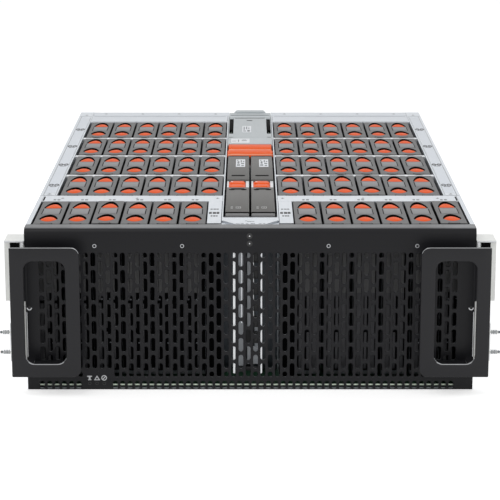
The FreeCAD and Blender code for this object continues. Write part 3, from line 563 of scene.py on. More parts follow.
def grilleTiles():
    # rows are counted in half steps: even columns start a full slot at the base, odd ones a short slot
    sizes = bezelSet
    columns = np.arange(-sizes["columns"], sizes["columns"] + 1)
    cells = []
    for column in columns:
        x = sizes["offset"] + sizes["pitch"] * column
        odd = column % 2 == 1
        starts = [0] + list(range(1, sizes["steps"], 2)) if odd else list(range(0, sizes["steps"], 2))
        for start in starts:
            span = 1 if (odd and start == 0) or start == sizes["steps"] - 1 else 2
            low = sizes["base"] + start * sizes["halfStep"]
            high = low + span * sizes["halfStep"]
            slotLow = low + sizes["margin"]
            if sizes["lampZone"][0] < x < sizes["lampZone"][1] and start == 0:
                slotLow = sizes["base"] + sizes["halfStep"] + sizes["margin"]
            cells.append((x, low, high, slotLow, high - sizes["margin"]))
    cells = np.array(cells)
    cells = cells[cells[:, 4] - cells[:, 3] > 2]
    x, low, high, slotLow, slotHigh = cells.T
    middle = (slotLow + slotHigh) / 2
    frames = frameOutline(sizes["pitch"] / 2, low - middle, high - middle)
    holes = capsule(sizes["slotHalf"], slotLow - middle, slotHigh - middle)
    return pierced(frames, holes, np.stack([x, middle], 1), 0.0, -sizes["sheet"], "y", 0.3), cells


def archTiles():
    # bottom row of vents: flat below, round above, in two runs of columns
    sizes = bezelSet
    counts = np.concatenate([np.arange(*run) for run in sizes["archRuns"]])
    x = sizes["pitch"] * (counts + 0.5)
    middle = (sizes["archLow"] + sizes["archHigh"]) / 2
    frames = frameOutline(np.full(len(x), sizes["pitch"] / 2), -middle, sizes["base"] - middle)
    holes = capsule(np.full(len(x), sizes["slotHalf"]), sizes["archLow"] - middle,
                    sizes["archHigh"] - middle, lowSquash=0.15)
    return pierced(frames, holes, np.stack([x, np.full(len(x), middle)], 1), 0.0, -sizes["sheet"], "y",
                   0.3), x


def buildBezel():
    # pierced tiles, plain blocks round them, and a top edge rolled back as a quarter circle
    sizes = bezelSet
    (faces, walls), cells = grilleTiles()
    (archFaces, archWalls), archX = archTiles()
    half = sizes["pitch"] / 2
    left, right = cells[:, 0].min() - half, cells[:, 0].max() + half
    grilleTop = sizes["base"] + sizes["steps"] * sizes["halfStep"]
    firstRun = sizes["archRuns"][0][1] - sizes["archRuns"][0][0]
    archEdges = [(-halfWidth, archX[0] - half), (archX[firstRun - 1] + half, archX[firstRun] - half),
                 (archX[-1] + half, halfWidth)]
    blocks = [plainBlock((start, 0, 0), (end, sizes["sheet"], sizes["base"])) for start, end in archEdges]
    blocks += [plainBlock((-halfWidth, 0, sizes["base"]), (left, sizes["sheet"], grilleTop)),
               plainBlock((right, 0, sizes["base"]), (halfWidth, sizes["sheet"], grilleTop))]
    lampCells = [sizes["offset"] + sizes["pitch"] * c for c in range(-sizes["columns"], sizes["columns"] + 1)
                 if sizes["lampZone"][0] < sizes["offset"] + sizes["pitch"]
                 * c < sizes["lampZone"][1] and c % 2 == 1]
    blocks += [plainBlock((x - half, 0, sizes["base"]), (x + half, sizes["sheet"],
                                                         sizes["base"] + sizes["halfStep"]))
               for x in lampCells]
    turn = np.linspace(0, math.pi / 2, 9)
    outer = np.stack([sizes["roll"] * (1 - np.cos(turn)), top - sizes["roll"] * (1 - np.sin(turn))], 1)
    inner = np.stack([sizes["roll"] - (sizes["roll"] - sizes["sheet"]) * np.cos(turn),
                      top - sizes["roll"] + (sizes["roll"] - sizes["sheet"]) * np.sin(turn)], 1)
    profile = np.concatenate([[(sizes["sheet"], grilleTop), (0, grilleTop)], outer,
                              [(sizes["rim"], top), (sizes["rim"], top - sizes["sheet"])], inner[::-1]])
    rolled = prism(profile, -halfWidth, halfWidth, "x")
    makePiece("bezelFront", [faces, walls, archFaces, archWalls, joined(*blocks), rolled],
              [bezelCoat], "chassis", ["front_bezel"], smooth=40)


screwSet = {"row": 147.1, "x": (-152.7, -66.8, 76.7, 163.6), "radius": 2.1}
pinSet = {"places": ((-0.7, 157.0), (-0.7, 149.5)), "radius": 0.7, "shadowRadius": 2.9, "edge": 220.6,
          "hook": (34.0, 80.0), "cover": (91.0, 137.0), "curl": 84.4, "curlOuter": 2.6, "curlInner": 1.6,
          "eye": 1.5}


def buildBezelScrews():
    # countersunk heads: narrow pale ring round a socket painted dark as shade
    sizes = screwSet
    radius = sizes["radius"]
    rim = [(radius - 0.9, 0.1), (radius - 0.8, 0.5), (radius - 0.2, 0.5), (radius, 0.2), (radius, -0.2)]
    points, faces = stack(circles([r for r, _ in rim]), [level for _, level in rim], "y", (False, False))
    head = (points, faces[:, ::-1])
    socket = stack(circles((radius - 0.8, radius - 0.8, radius - 1.0)), [-0.2, 0.1, 0.14], "y")
    places = [(x, 0, sizes["row"]) for x in sizes["x"]]
    makePiece("bezelScrews", [repeated(head, places), repeated(socket, places)], [screwSteel, blackAndShade],
              "chassis")


def buildBezelPins():
    # two pins, each in a ring of painted shadow, and on each side edge a pale strip that curls round a dark
    # eye, painted shade in a hole, below a cover
    sizes = pinSet
    edge, radius, shadowRadius, eyeRadius = sizes["edge"], sizes["radius"], sizes["shadowRadius"], sizes["eye"]
    places = [(x, 0, z) for x, z in sizes["places"]]
    pin = stack(circles((radius, radius, radius - 0.2)), [-0.2, 0.3, 0.4], "y")
    shadow = stack(circles((shadowRadius, shadowRadius, shadowRadius - 0.2)), [-0.2, 0.1, 0.16], "y")
    centre = [edge - sizes["curlOuter"], sizes["curl"]]
    turn = np.linspace(math.pi, 2 * math.pi, 9)
    arc = np.stack([np.cos(turn), np.sin(turn)], 1)
    curl = prism(np.concatenate([arc * sizes["curlOuter"], arc[::-1] * sizes["curlInner"]]) + centre, -0.5,
                 0.2, "y")
    hook = [softBlock((edge - 0.3, -0.4, sizes["hook"][0]), (edge + 0.4, 0.6, sizes["hook"][1]), 0.3, 0.2),
            curl]
    cover = softBlock((edge - 0.8, -0.3, sizes["cover"][0]), (edge + 2.6, 0.6, sizes["cover"][1]), 0.5, 0.2)
    eye = stack(circles((eyeRadius, eyeRadius, eyeRadius - 0.1), centre), [-0.2, 0.1, 0.16], "y")
    makePiece("bezelPins", [joined(repeated(pin, places), *hook, *[mirrored(part) for part in hook]),
                            joined(repeated(shadow, places), eye, mirrored(eye)),
                            joined(cover, mirrored(cover))],
              [whitePlate, moulding, bezelCoat], "chassis")


print("bezel")
buildBezel()
buildBezelScrews()
buildBezelPins()


handleSet = {"outline": (166.0, 234.0, 20.0, 151.0), "corner": 8.5, "window": (180.0, 220.4, 33.6, 137.4),
             "windowCorner": 9.0, "sheet": 2.5, "stand": 21.5, "edge": 0.7, "flange": (176.0, 214.0),
             "inset": 8.0}


def buildHandles():
    # ring plate: its section is a rounded strip carried from the window's outline to the outer outline
    sizes = handleSet
    x0, x1, z0, z1 = sizes["outline"]
    w0, w1, v0, v1 = sizes["window"]
    centre, wCentre = np.array([(x0 + x1) / 2, (z0 + z1) / 2]), np.array([(w0 + w1) / 2, (v0 + v1) / 2])
    front, back, edge = sizes["stand"] + sizes["sheet"], sizes["stand"], sizes["edge"]

    def outer(inset):
        # outer outline, drawn in by an inset
        radii = np.maximum(np.array([1.2, sizes["corner"], sizes["corner"], 1.2]) - inset, 0.05)
        return roundedOutline((x1 - x0) / 2 - inset, (z1 - z0) / 2 - inset, radii, 8) + centre

    def window(grow):
        # outline of the window, grown by an amount
        return roundedOutline((w1 - w0) / 2 + grow, (v1 - v0) / 2 + grow, sizes["windowCorner"] + grow,
                              8) + wCentre

    rings = [(window(edge), front), (outer(edge), front), (outer(0.3 * edge), front - 0.3 * edge),
             (outer(0), front - edge), (outer(0), back + edge), (outer(edge), back), (window(edge), back),
             (window(0), back + edge), (window(0), front - edge),
             (window(0.3 * edge), front - 0.3 * edge), (window(edge), front)]
    outlines = np.stack([r for r, _ in rings])
    points = axisPlace(outlines, [level for _, level in rings], "y").reshape(-1, 3)
    plate = (points, ringFaces(len(rings), outlines.shape[1])[:, ::-1])
    flanges = [softBlock((sizes["flange"][0], -sizes["stand"] - 0.5, low),
                         (sizes["flange"][1], 0, low + sizes["sheet"]), 0.6, 0.3)
               for low in (z0 + sizes["inset"], z1 - sizes["inset"] - sizes["sheet"])]
    right = joined(plate, *flanges)
    makePiece("carryingHandles", [right, mirrored(right)], [handleCoat], "chassis",
              ["carrying_handles"], smooth=40)


print("handles")
buildHandles()


carrierSet = {"width": 27.0, "length": 103.8, "pitch": 28.8, "cap": 8.6, "well": 7.2,
              "near": (10.8, 40.8), "far": (71.0, 99.7), "opening": 8.8, "label": (43.9, 67.1, 8.5),
              "disk": (26.1, 101.6, 147.0), "dots": (87.0, 42.0), "inset": 0.9,
              "nearShares": (0.36, 0.6), "farShares": (0.06, 0.9)}


def openingOutline(near, half=None):
    # lens with pointed sides: the near opening bulges both ways, the far one mostly away from the front; the
    # shares say how much of its length each arc takes
    sizes = carrierSet
    half = sizes["opening"] if half is None else half
    low, high = sizes["near"] if near else sizes["far"]
    lowShare, highShare = sizes["nearShares"] if near else sizes["farShares"]
    reach = (high - low) / half
    return capsule(half, low, high, 13, lowShare * reach, highShare * reach, 1.6)[0]


def carrierPiles():
    # one carrier at the origin's right and rear, with its top at level 0
    sizes = carrierSet
    halfW, length, inset = sizes["width"] / 2, sizes["length"], sizes["inset"]
    spans = [(sizes["near"][0] - 2.2, sizes["near"][1] + 1.6), (sizes["far"][0] - 1.6, sizes["far"][1] + 1.9)]
    holes, frames, centres = [], [], []
    for (low, high), near in zip(spans, (True, False)):
        centre = sum(sizes["near"] if near else sizes["far"]) / 2
        centres.append((halfW, centre))
        frames.append(frameOutline(halfW - inset, low - centre, high - centre, 13)[0])
        holes.append(openingOutline(near) - [0, centre])
    face, wall = pierced(np.array(frames), np.array(holes), np.array(centres), 0.0, -sizes["well"], "z",
                         0.5, True)
    plain = []
    left, right = inset, 2 * halfW - inset
    for low, high in ((inset, spans[0][0]), (spans[0][1], spans[1][0]), (spans[1][1], length - inset)):
        corners = np.array([(left, low, 0), (right, low, 0), (right, high, 0), (left, high, 0)])
        plain.append((corners, np.array([[0, 1, 2, 3]])))
    centre = np.array([halfW, length / 2])
    skirt = [(0.2, -sizes["cap"]), (0.2, -0.6), (0.2, -0.5), (0.4, -0.2), (inset, 0.0)]
    outlines = np.stack([roundedOutline(halfW - i, length / 2 - i, 1.2 if i < inset else 0.01, 3) + centre
                         for i, _ in skirt])
    levels = [level for _, level in skirt]
    walls = stack(outlines[:2], levels[:2], "z", (True, False))
    rim = stack(outlines[1:], levels[1:], "z", (False, False))
    low, high, half = sizes["label"]
    plate = softBlock((halfW - half, low, -0.3), (halfW + half, high, 0.25), 1.0, 0.15)
    grooves = [plainBlock((x - 0.4, low - 0.5, -0.3), (x + 0.4, high + 0.5, 0.06))
               for x in (halfW - half - 0.6, halfW + half + 0.6)]
    arc = np.linspace(math.pi, 0, 9)
    notch = prism(np.stack([halfW + 6.0 * np.cos(arc), 0.1 + 4.6 * np.sin(arc)], 1), -0.3, 0.07, "z")
    tongue = prism(np.stack([halfW + 5.0 * np.cos(arc), 0.05 + 3.4 * np.sin(arc)], 1), -0.3, 0.3, "z")
    diskWidth, diskLength, diskHeight = sizes["disk"]
    below = -sizes["cap"]
    disk = softBlock((halfW - diskWidth / 2, (length - diskLength) / 2, below - diskHeight),
                     (halfW + diskWidth / 2, (length + diskLength) / 2, below - 0.1), 0.8, 0.3, "z", 2)
    legs = [softBlock((halfW - 9, y - 0.5, below - 62), (halfW + 9, y + 0.5, below + 0.2), 0.3, 0.1, "z", 2)
            for y in (0.6, length - 0.6)]
    ground, fronts, studs = driveFront(halfW)
    # the dark pile is painted shade: walls and floors of the openings, the sides, the grooves, the notch and
    # the drive end's ground
    return {"grey": joined(face, *plain, rim, tongue, *legs),
            "dark": joined(wall, walls, ground, *grooves, notch),
            "label": plate, "disk": disk, "front": fronts, "studs": studs}


def driveFront(middle):
    # end of the disk: black ground, which is painted shade between the ribs; a narrow middle rib in two
    # lengths, a broad rib each side, four studs
    sizes = carrierSet
    low, high = -sizes["cap"] - sizes["disk"][2] + 4, -sizes["cap"] - 1.5
    ground = softBlock((middle - 12.6, 0.7, low), (middle + 12.6, 1.3, high), 0.6, 0.2, "y", 2)
    blocks = []
    for start, end in ((low + 2, low + 40), (low + 44, low + 92), (low + 96, high - 3)):
        blocks.append(softBlock((middle - 1.3, 0.25, start), (middle + 1.3, 0.9, end), 0.6, 0.2, "y", 2))
    for start, end in ((low + 2, low + 70), (low + 73, high - 3)):
        for side in (-1, 1):
            for offset, half, front, radius, edge in ((7.0, 2.1, 0.35, 0.8, 0.2), (4.9, 0.35, 0.1, 0.2, 0.1)):
                x = middle + side * offset
                blocks.append(softBlock((x - half, front, start), (x + half, 0.9, end), radius, edge, "y", 2))
    studs = []
    for height in sizes["dots"]:
        for x in (middle - 3.9, middle + 3.9):
            studs.append(softBlock((x - 0.8, 0.05, height - 0.6 - top), (x + 0.8, 0.8, height + 0.6 - top),
                                   0.3, 0.1, "y", 2))
    return ground, joined(*blocks), joined(*studs)


padSet = {"near": {"half": 8.6, "crown": 0.5, "drop": 0.06, "bulge": 2.2, "ends": (11.2, 39.0)},
          "far": {"half": 8.5, "crown": 0.3, "drop": 0.03, "bulge": 1.7, "ends": (71.4, 95.6)}}


def padPile(near):
    # lens outlines shrink towards the crown as a quarter circle; the whole crown slopes down to the rear
    sizes = padSet["near" if near else "far"]
    low, high = sizes["ends"]
    middle = np.array([carrierSet["width"] / 2, (low + high) / 2 - 2.0])
    outline = openingOutline(near, sizes["half"])
    outline[:, 1] = low + (outline[:, 1] - outline[:, 1].min()) * (high - low) / np.ptp(outline[:, 1])
    outline += [middle[0], 0]
    swell = np.sin(np.linspace(0, math.pi / 2, 8))[:-1]
    shrink = np.concatenate([[1.0], np.sqrt(1 - swell ** 2), [0.08]])
    rise = np.concatenate([[0], swell, [1.0]]) * sizes["bulge"]
    rings = middle + (outline - middle) * shrink[:, None, None]
    points = np.concatenate([rings, np.broadcast_to((sizes["crown"] - sizes["bulge"] + rise)[:, None, None],
                                                    rings.shape[:2] + (1,))], -1)
    points[..., 2] -= sizes["drop"] * (points[..., 1] - middle[1])
    points[0, :, 2] = -carrierSet["well"] - 0.2
    rings, count = points.shape[:2]
    faces = np.concatenate([ringFaces(rings, count), capFaces(count, 0, False),
                            capFaces(count, (rings - 1) * count, True)])
    return points.reshape(-1, 3), faces


def carrierPlaces(letter):
    # corner of every carrier of a row, from the row's box
    sizes = carrierSet
    low, high = nodeBox("drives_row_" + letter)
    outer = max(high[0], -low[0])
    places = []
    for number in range(12):
        side = number - 6 if number >= 6 else 5 - number
        x = outer - (5 - side) * sizes["pitch"] - sizes["width"]
        places.append(x if number >= 6 else -x - sizes["width"])
    return np.array([(x, low[1], top) for x in places])


carrierKeys = ("grey", "dark", "label", "disk", "front", "studs")
carrierLook = [carrierGrey, blackAndShade, carrierLabel, diskCase, driveFace, seamGrey]
# in each row the loose drive and a second one that stands proud; their caps sit lower than in the CAD by
# the drop, so that the pads stay under the top of its box
releasedSet = {"rows": {"a": (3, 12), "b": (9, 10)}, "capDrop": 0.6}


def buildDrives():
    # the carriers and pads of each row, with the loose drive as pieces of its own
    piles = carrierPiles()
    pads = joined(padPile(True), padPile(False))
    rise = nodeBox("drives_row_a")[1][2] - top
    for letter in rowLetters:
        places = carrierPlaces(letter)
        diskPlaces = places.copy()
        loose, proud = releasedSet["rows"].get(letter, (0, 0))
        for number in range(12):
            if number + 1 in (loose, proud):
                diskPlaces[number, 2] += rise
                places[number, 2] += rise - releasedSet["capDrop"]
        stays = [number for number in range(12) if number + 1 != loose]
        makePiece(f"carriersRow{letter.upper()}",
                  [repeated(piles[key], (diskPlaces if key == "disk" else places)[stays])
                   for key in carrierKeys],
                  carrierLook, "chassis", ["drives_row_" + letter])
        makePiece(f"padsRow{letter.upper()}", repeated(pads, places[stays]), orange, "chassis",
                  ["release_pads_row_" + letter])
        if loose:
            body = f"drive_{letter}{loose}"
            place, diskPlace = places[loose - 1], diskPlaces[loose - 1]
            makePiece(f"looseCarrier{letter.upper()}",
                      [repeated(piles[key], diskPlace if key == "disk" else place) for key in carrierKeys],
                      carrierLook, body, [body + "_carrier", body + "_disk"])
            for near, end in ((True, "front"), (False, "rear")):
                makePiece(f"loosePad{letter.upper()}_{end}", repeated(padPile(near), place), orange,
                          f"{body}_{end}_latch", [f"{body}_{end}_pad"])


print("drives")
buildDrives()


def marks(rects, level, axis="z", thickness=0.12):
    # flat printed strokes, each a rectangle (u from, u to, v from, v to), on a face that looks up or forward
    blocks = []
    for u0, u1, v0, v1 in rects:
        if axis == "z":
            blocks.append(plainBlock((u0, v0, level - 0.05), (u1, v1, level + thickness)))
        else:
            blocks.append(plainBlock((u0, level - thickness, v0), (u1, level + 0.05, v1)))
    return joined(*blocks)


def ring(radius, width, centre, level, axis="z", count=24, thickness=0.3):
    # flat washer: outlines run round its section from the inner edge
    section = [(radius - width, 0.0), (radius - width, thickness), (radius, thickness), (radius, 0.0)]
    outlines = circles([r for r, _ in section], centre, count)
    base = level if axis == "z" else -level
    points = axisPlace(outlines, [base + rise for _, rise in section], axis).reshape(-1, 3)
    return points, ringFaces(len(section), count)[:, ::-1]


def disc(radius, centre, low, high, axis="z", count=20, edge=0.2):
    # short round post with a small chamfer at its high end; for axis y the levels are counted forwards
    return stack(circles((radius, radius, radius - edge), centre, count), [low, high - edge, high], axis)


def torus(radius, wire, centre, level, count=40, section=6):
    # wire ring in an upright plane
    turn = np.linspace(0, 2 * math.pi, count, endpoint=False)[:, None]
    roll = np.linspace(0, 2 * math.pi, section, endpoint=False)[None, :]
    reach = radius + wire * np.cos(roll)
    points = np.stack([centre[0] + reach * np.cos(turn), level + wire * np.sin(roll) + 0 * turn,
                       centre[1] + reach * np.sin(turn)], -1)
    i, j = np.meshgrid(np.arange(count), np.arange(section), indexing="ij")
    near, after = (j + 1) % section, (i + 1) % count
    faces = np.stack([i * section + j, i * section + near, after * section + near, after * section + j], -1)
    return points.reshape(-1, 3), faces.reshape(-1, 4)


def turnedAbout(pile, angle, axis, centre):
    # the pile turned about an axis through a point
    points, faces = pile
    matrix = np.array(Matrix.Rotation(angle, 3, axis))
    return (points - centre) @ matrix.T + centre, faces


def screwHead(radius, depth=0.5, count=14):
    # pan head with a cross recess painted dark as shade: head pile and recess pile about the origin, looking
    # up
    head = stack(circles((radius, radius, radius * 0.75), count=count), [0, depth * 0.5, depth], "z")
    longer, shorter = radius * 0.5, 0.22 * radius
    cross = joined(*[plainBlock((-u, -v, depth - 0.05), (u, v, depth + 0.04))
                     for u, v in ((longer, shorter), (shorter, longer))])
    return head, cross


indicatorSet = {"x": (-159.9, -152.6, -145.5), "symbol": 12.0, "lamp": 6.2}


def buildIndicators():
    # three plain printed symbols over three round lamps: a barred line, an open triangle, a struck ring
    x0, x1, x2 = indicatorSet["x"]
    z = indicatorSet["symbol"]
    symbols = [marks([(x0 - 2.4, x0 + 2.4, z + 1.0, z + 2.2), (x0 - 0.9, x0 + 0.9, z - 2.2, z + 1.0),
                      (x0 - 1.7, x0 + 1.7, z - 2.4, z - 1.6)], 0, "y")]
    corners = np.array([[-3.1, -2.4], [3.1, -2.4], [0.0, 2.6]])
    outer = corners + [x1, z]
    inner = corners * 0.5 + [x1, z - 0.4]
    triangle = np.stack([inner, inner, outer, outer])
    points = axisPlace(triangle, [-0.05, 0.12, 0.12, -0.05], "y").reshape(-1, 3)
    symbols.append((points, ringFaces(4, 3)[:, ::-1]))
    symbols.append(ring(2.8, 0.9, (x2, z), 0, "y", 20, 0.12))
    symbols.append(turnedAbout(marks([(x2 - 2.6, x2 + 2.6, z - 0.4, z + 0.4)], 0, "y"), math.radians(-45),
                               "Y", np.array([x2, 0, z])))
    makePiece("indicatorSymbols", joined(*symbols), printWhite, "chassis")
    rims = joined(*[ring(1.75, 0.55, (x, indicatorSet["lamp"]), 0, "y", 18, 0.25) for x in indicatorSet["x"]])
    makePiece("indicatorRims", rims, moulding, "chassis")


# panels and sockets as x from, x to, y from, y to, z from, z to, with y counted from the guides' front; the
# flank, a black sheet of painted shade before the fillers, is a box too, with y counted from the bezel's face
centreSet = {"front": 2.3, "walls": (-16.0, 10.7), "wallHalf": 1.0, "wallRear": 49.5, "low": 16.0,
             "high": 158.0, "ribs": (-8.6, 3.0), "contacts": (46, 146, 16.5),
             "shades": ((-27.0, -17.2), (11.9, 27.0)), "flank": (29.0, 43.5, 18.9, 20.6, 6.0, 150.0),
             "panels": ((-12.0, -5.2, 8, 12, 54, 156), (-3.0, 1.6, 10, 14, 60, 150),
                        (4.4, 7.4, 12, 15, 34, 62), (-11.6, -6.0, 6, 9, 22, 50), (-3.0, 8.0, 6, 8, 24, 42)),
             "sockets": ((-15.0, 9.7, 9, 11, 16, 20), (-5.0, 3.6, 13, 16, 16, 156))}


def buildFrontCentre():
    # guides and sockets of the midplane that show pale through the grille between the two halves of row A;
    # the guides and panels glow a little as painted light, and the shades and flanks are sheets of painted
    # shade
    sizes = centreSet
    front, low, high, half = sizes["front"], sizes["low"], sizes["high"], sizes["wallHalf"]
    glowingGuides = [softBlock((x - half, front, low), (x + half, sizes["wallRear"], high), 0.3, 0.2, "y", 2)
              for x in sizes["walls"]]
    glowingGuides += [softBlock((x - 0.5, front + 7, 66), (x + 0.5, front + 9, high - 4), 0.2, 0.1, "y", 2)
               for x in sizes["ribs"]]
    panels = blocksOf(sizes["panels"], 0.8, 0.3, "y", 3, (0, front, 0))
    sockets = [softBlock((3.0, front + 4, base), (8.4, front + 11, base + 11), 0.5, 0.3, "y", 2)
               for base in np.arange(*sizes["contacts"])]
    sockets += blocksOf(sizes["sockets"], 0.5, 0.3, "y", 2, (0, front, 0))
    shades = blocksOf([(x0, x1, 40.0, 41.0, low, high) for x0, x1 in sizes["shades"]], 0.5, 0.2, "y", 2)
    flank = blocksOf([sizes["flank"]], 0.4, 0.2, "y", 2)[0]
    makePiece("frontCentreGuides", [joined(*glowingGuides), joined(*panels), joined(*sockets), joined(*shades),
                                    joined(flank, mirrored(flank))],
              [glowingGuideWhite, glowingGuideGrey, moulding, shadeSlate, blackAndShade], "chassis")


# marks as middle, width, front and rear
apronSet = {"neck": 14.5,
            "marks": ((-12.5, 4.0, 20.4, 22.0), (-8.0, 3.0, 21.0, 22.6), (-3.2, 2.6, 20.2, 21.8),
                      (2.6, 4.4, 21.2, 22.8), (9.8, 3.0, 20.4, 22.0), (13.6, 2.4, 21.0, 22.6),
                      (0.5, 7.0, 30.0, 31.6), (-4.0, 2.0, 33.0, 34.6))}


def buildApron():
    # tapered steel plate with fold lines and punched marks; its fold down to the floor is painted dark as
    # shade
    low, high = nodeBox("front_apron")
    wide, neck = high[0], apronSet["neck"]
    front, rear = low[1], high[1]
    shoulder = (front + rear) / 2
    plan = [(-neck, front), (neck, front), (wide, shoulder), (wide, rear), (-wide, rear), (-wide, shoulder)]
    plate = prism(plan, top - 1.5, top, "z")
    corner = prism([(-wide, front), (wide, front), (wide, rear - 2), (-wide, rear - 2)], top - 3.0,
                   top - 1.6, "z")
    fold = softBlock((-wide + 1.2, rear - 1.5, low[2] + 0.2), (wide - 1.2, rear, top - 1.4), 0.4, 0.2, "y", 2)
    lines = [marks([(-wide + 2, wide - 2, rear - 2.4, rear - 1.9)], top)]
    for side in (-1, 1):
        run = prism([(side * (neck + 1.2), front + 1.0), (side * (neck + 2.0), front + 1.0),
                     (side * (wide - 0.6), shoulder + 0.4), (side * (wide - 0.6), shoulder + 1.2)],
                    top - 0.05, top + 0.1, "z")
        lines.append(run)
    lines.append(marks([(x - width / 2, x + width / 2, y0, y1) for x, width, y0, y1 in apronSet["marks"]],
                       top))
    makePiece("frontApron", [joined(plate, corner), fold, joined(*lines)],
              [steelSheet, shadeSlate, seamGrey], "chassis", ["front_apron"], smooth=30)


print("front details")
buildIndicators()
buildFrontCentre()
buildApron()


deckSet = {"strip": (206.6, 217.2), "stripFront": 170.0, "stripTail": 24, "markPlace": 46, "markSpread": 2.9,
           "slot": (214.6, 216.2, 128.0, 148.0), "seamFront": 153.6, "screwX": 212.0, "screwFront": 160.5}


def buildDeck():
    # pale label strip along each side deck with a mark for each row, seams, an end slot of painted shade and
    # low screw heads
    sizes = deckSet
    rowFront = carrierPlaces("b")[0, 1]
    rowPitch = carrierPlaces("c")[0, 1] - rowFront
    strip, ink, seam, heads, crosses, dark = [], [], [], [], [], []
    head, cross = screwHead(2.4)
    x0, x1 = sizes["strip"]
    slot0, slot1, slotFront, slotRear = sizes["slot"]
    rear = rowFront + 4 * rowPitch + sizes["stripTail"]
    loop, faces = ring(2.6, 1.0, (0, 0), top + 0.1, "z", 16, 0.1)
    for side in (-1, 1):
        def across(u, v):
            # the two distances from the middle plane as x from and x to on this side
            return (u, v) if side > 0 else (-v, -u)
        a, b = across(x0, x1)
        strip.append(softBlock((a, sizes["stripFront"], top - 0.2), (b, rear, top + 0.14), 0.8, 0.06))
        middle = (x0 + x1) / 2 * side
        for number in range(4):
            y = rowFront + number * rowPitch + sizes["markPlace"]
            for u in (-sizes["markSpread"], sizes["markSpread"]):
                ink.append((loop * [1, 2.4, 1] + [middle + u, y + 6, 0], faces))
            ink.append(marks([(middle - 5.4, middle + 5.4, y + 5.2, y + 7.2),
                              (middle - 3.2, middle + 3.2, y - 3.4, y - 1.6)], top + 0.1))
        for u, v in ((x1 + 0.6, x1 + 1.1), (x0 - 1.2, x0 - 0.8)):
            a, b = across(u, v)
            seam.append(marks([(a, b, 156, rear + 10)], top, thickness=0.1))
        a, b = across(x0, x1 + 3.2)
        seam.append(marks([(a, b, sizes["seamFront"], sizes["seamFront"] + 0.8),
                           (a, b, rear + 10, rear + 10.8)], top, thickness=0.1))
        for y in (sizes["screwFront"], rear + 18):
            heads.append(repeated(head, [(side * sizes["screwX"], y, top - 0.1)]))
            crosses.append(repeated(cross, [(side * sizes["screwX"], y, top - 0.1)]))
        a, b = across(slot0, slot1)
        dark.append(softBlock((a, slotFront, top - 0.6), (b, slotRear, top + 0.06), 0.7, 0.02))
    makePiece("deckStrips", joined(*strip), paleLabel, "chassis")
    makePiece("deckMarks", [joined(*ink), joined(*seam), joined(*heads), joined(*crosses), joined(*dark)],
              [printInk, seamGrey, screwSteel, blackAndShade, blackAndShade], "chassis")


# bold marks as front, share of the filler's width and depth
barSet = {"screws": (34.0, 118.0, 196.0), "screwBack": 14, "firstDrive": 43.2, "drivePitch": 28.8,
          "filler": (29.8, 42.2), "bold": ((54, 0.62, 4.0), (66, 0.92, 8.0), (86, 0.74, 3.0)),
          "notched": "cde", "notchDrop": 0.8}


def buildBars():
    # screws and marks on the cross bar, bold marks on the fillers, half-round notches before the rear drives
    sizes = barSet
    ink, bold, notches, heads, crosses = [], [], [], [], []
    head, cross = screwHead(2.0)
    barY = nodeBox("cross_bars")[0][1]
    for side in (-1, 1):
        for x in sizes["screws"]:
            heads.append(repeated(head, [(side * x, barY + sizes["screwBack"], top - 0.1)]))
            crosses.append(repeated(cross, [(side * x, barY + sizes["screwBack"], top - 0.1)]))
        for number in range(6):
            x = side * (sizes["firstDrive"] + sizes["drivePitch"] * (number + 0.5))
            ink.append(marks([(x - 3.4, x - 0.8, barY + 5, barY + 10),
                              (x + 0.6, x + 3.6, barY + 5, barY + 10)], top))
        a, b = sorted(side * x for x in sizes["filler"])
        middle = (a + b) / 2
        for y, share, depth in sizes["bold"]:
            reach = (b - a) / 2 * share
            for stroke in range(3):
                u = middle - reach + 2 * reach * stroke / 3
                bold.append(marks([(u, u + reach * (0.5 + 0.08 * (stroke % 2)), y, y + depth)], top))
    makePiece("barScrews", [joined(*heads), joined(*crosses)], [screwSteel, blackAndShade], "chassis")
    arc = np.linspace(math.pi, 0, 7)
    level = top - sizes["notchDrop"]
    for letter in sizes["notched"]:
        for x, y, _ in carrierPlaces(letter):
            u = x + carrierSet["width"] / 2
            half = np.stack([u + 4.4 * np.cos(arc), y - 3.6 + 3.2 * np.sin(arc)], 1)
            notches.append(prism(half, level - 0.2, level + 0.06, "z"))
    makePiece("barMarks", [joined(*ink), joined(*notches), joined(*bold)], [seamGrey, seamGrey, printInk],
              "chassis")


rearSet = {"front": 598.7, "fold": 648.2, "rear": 674.2, "inner": 28.9, "roll": 1.5, "skirt": 13.9,
           "lip": 4.4, "groove": (27.3, 29.2)}


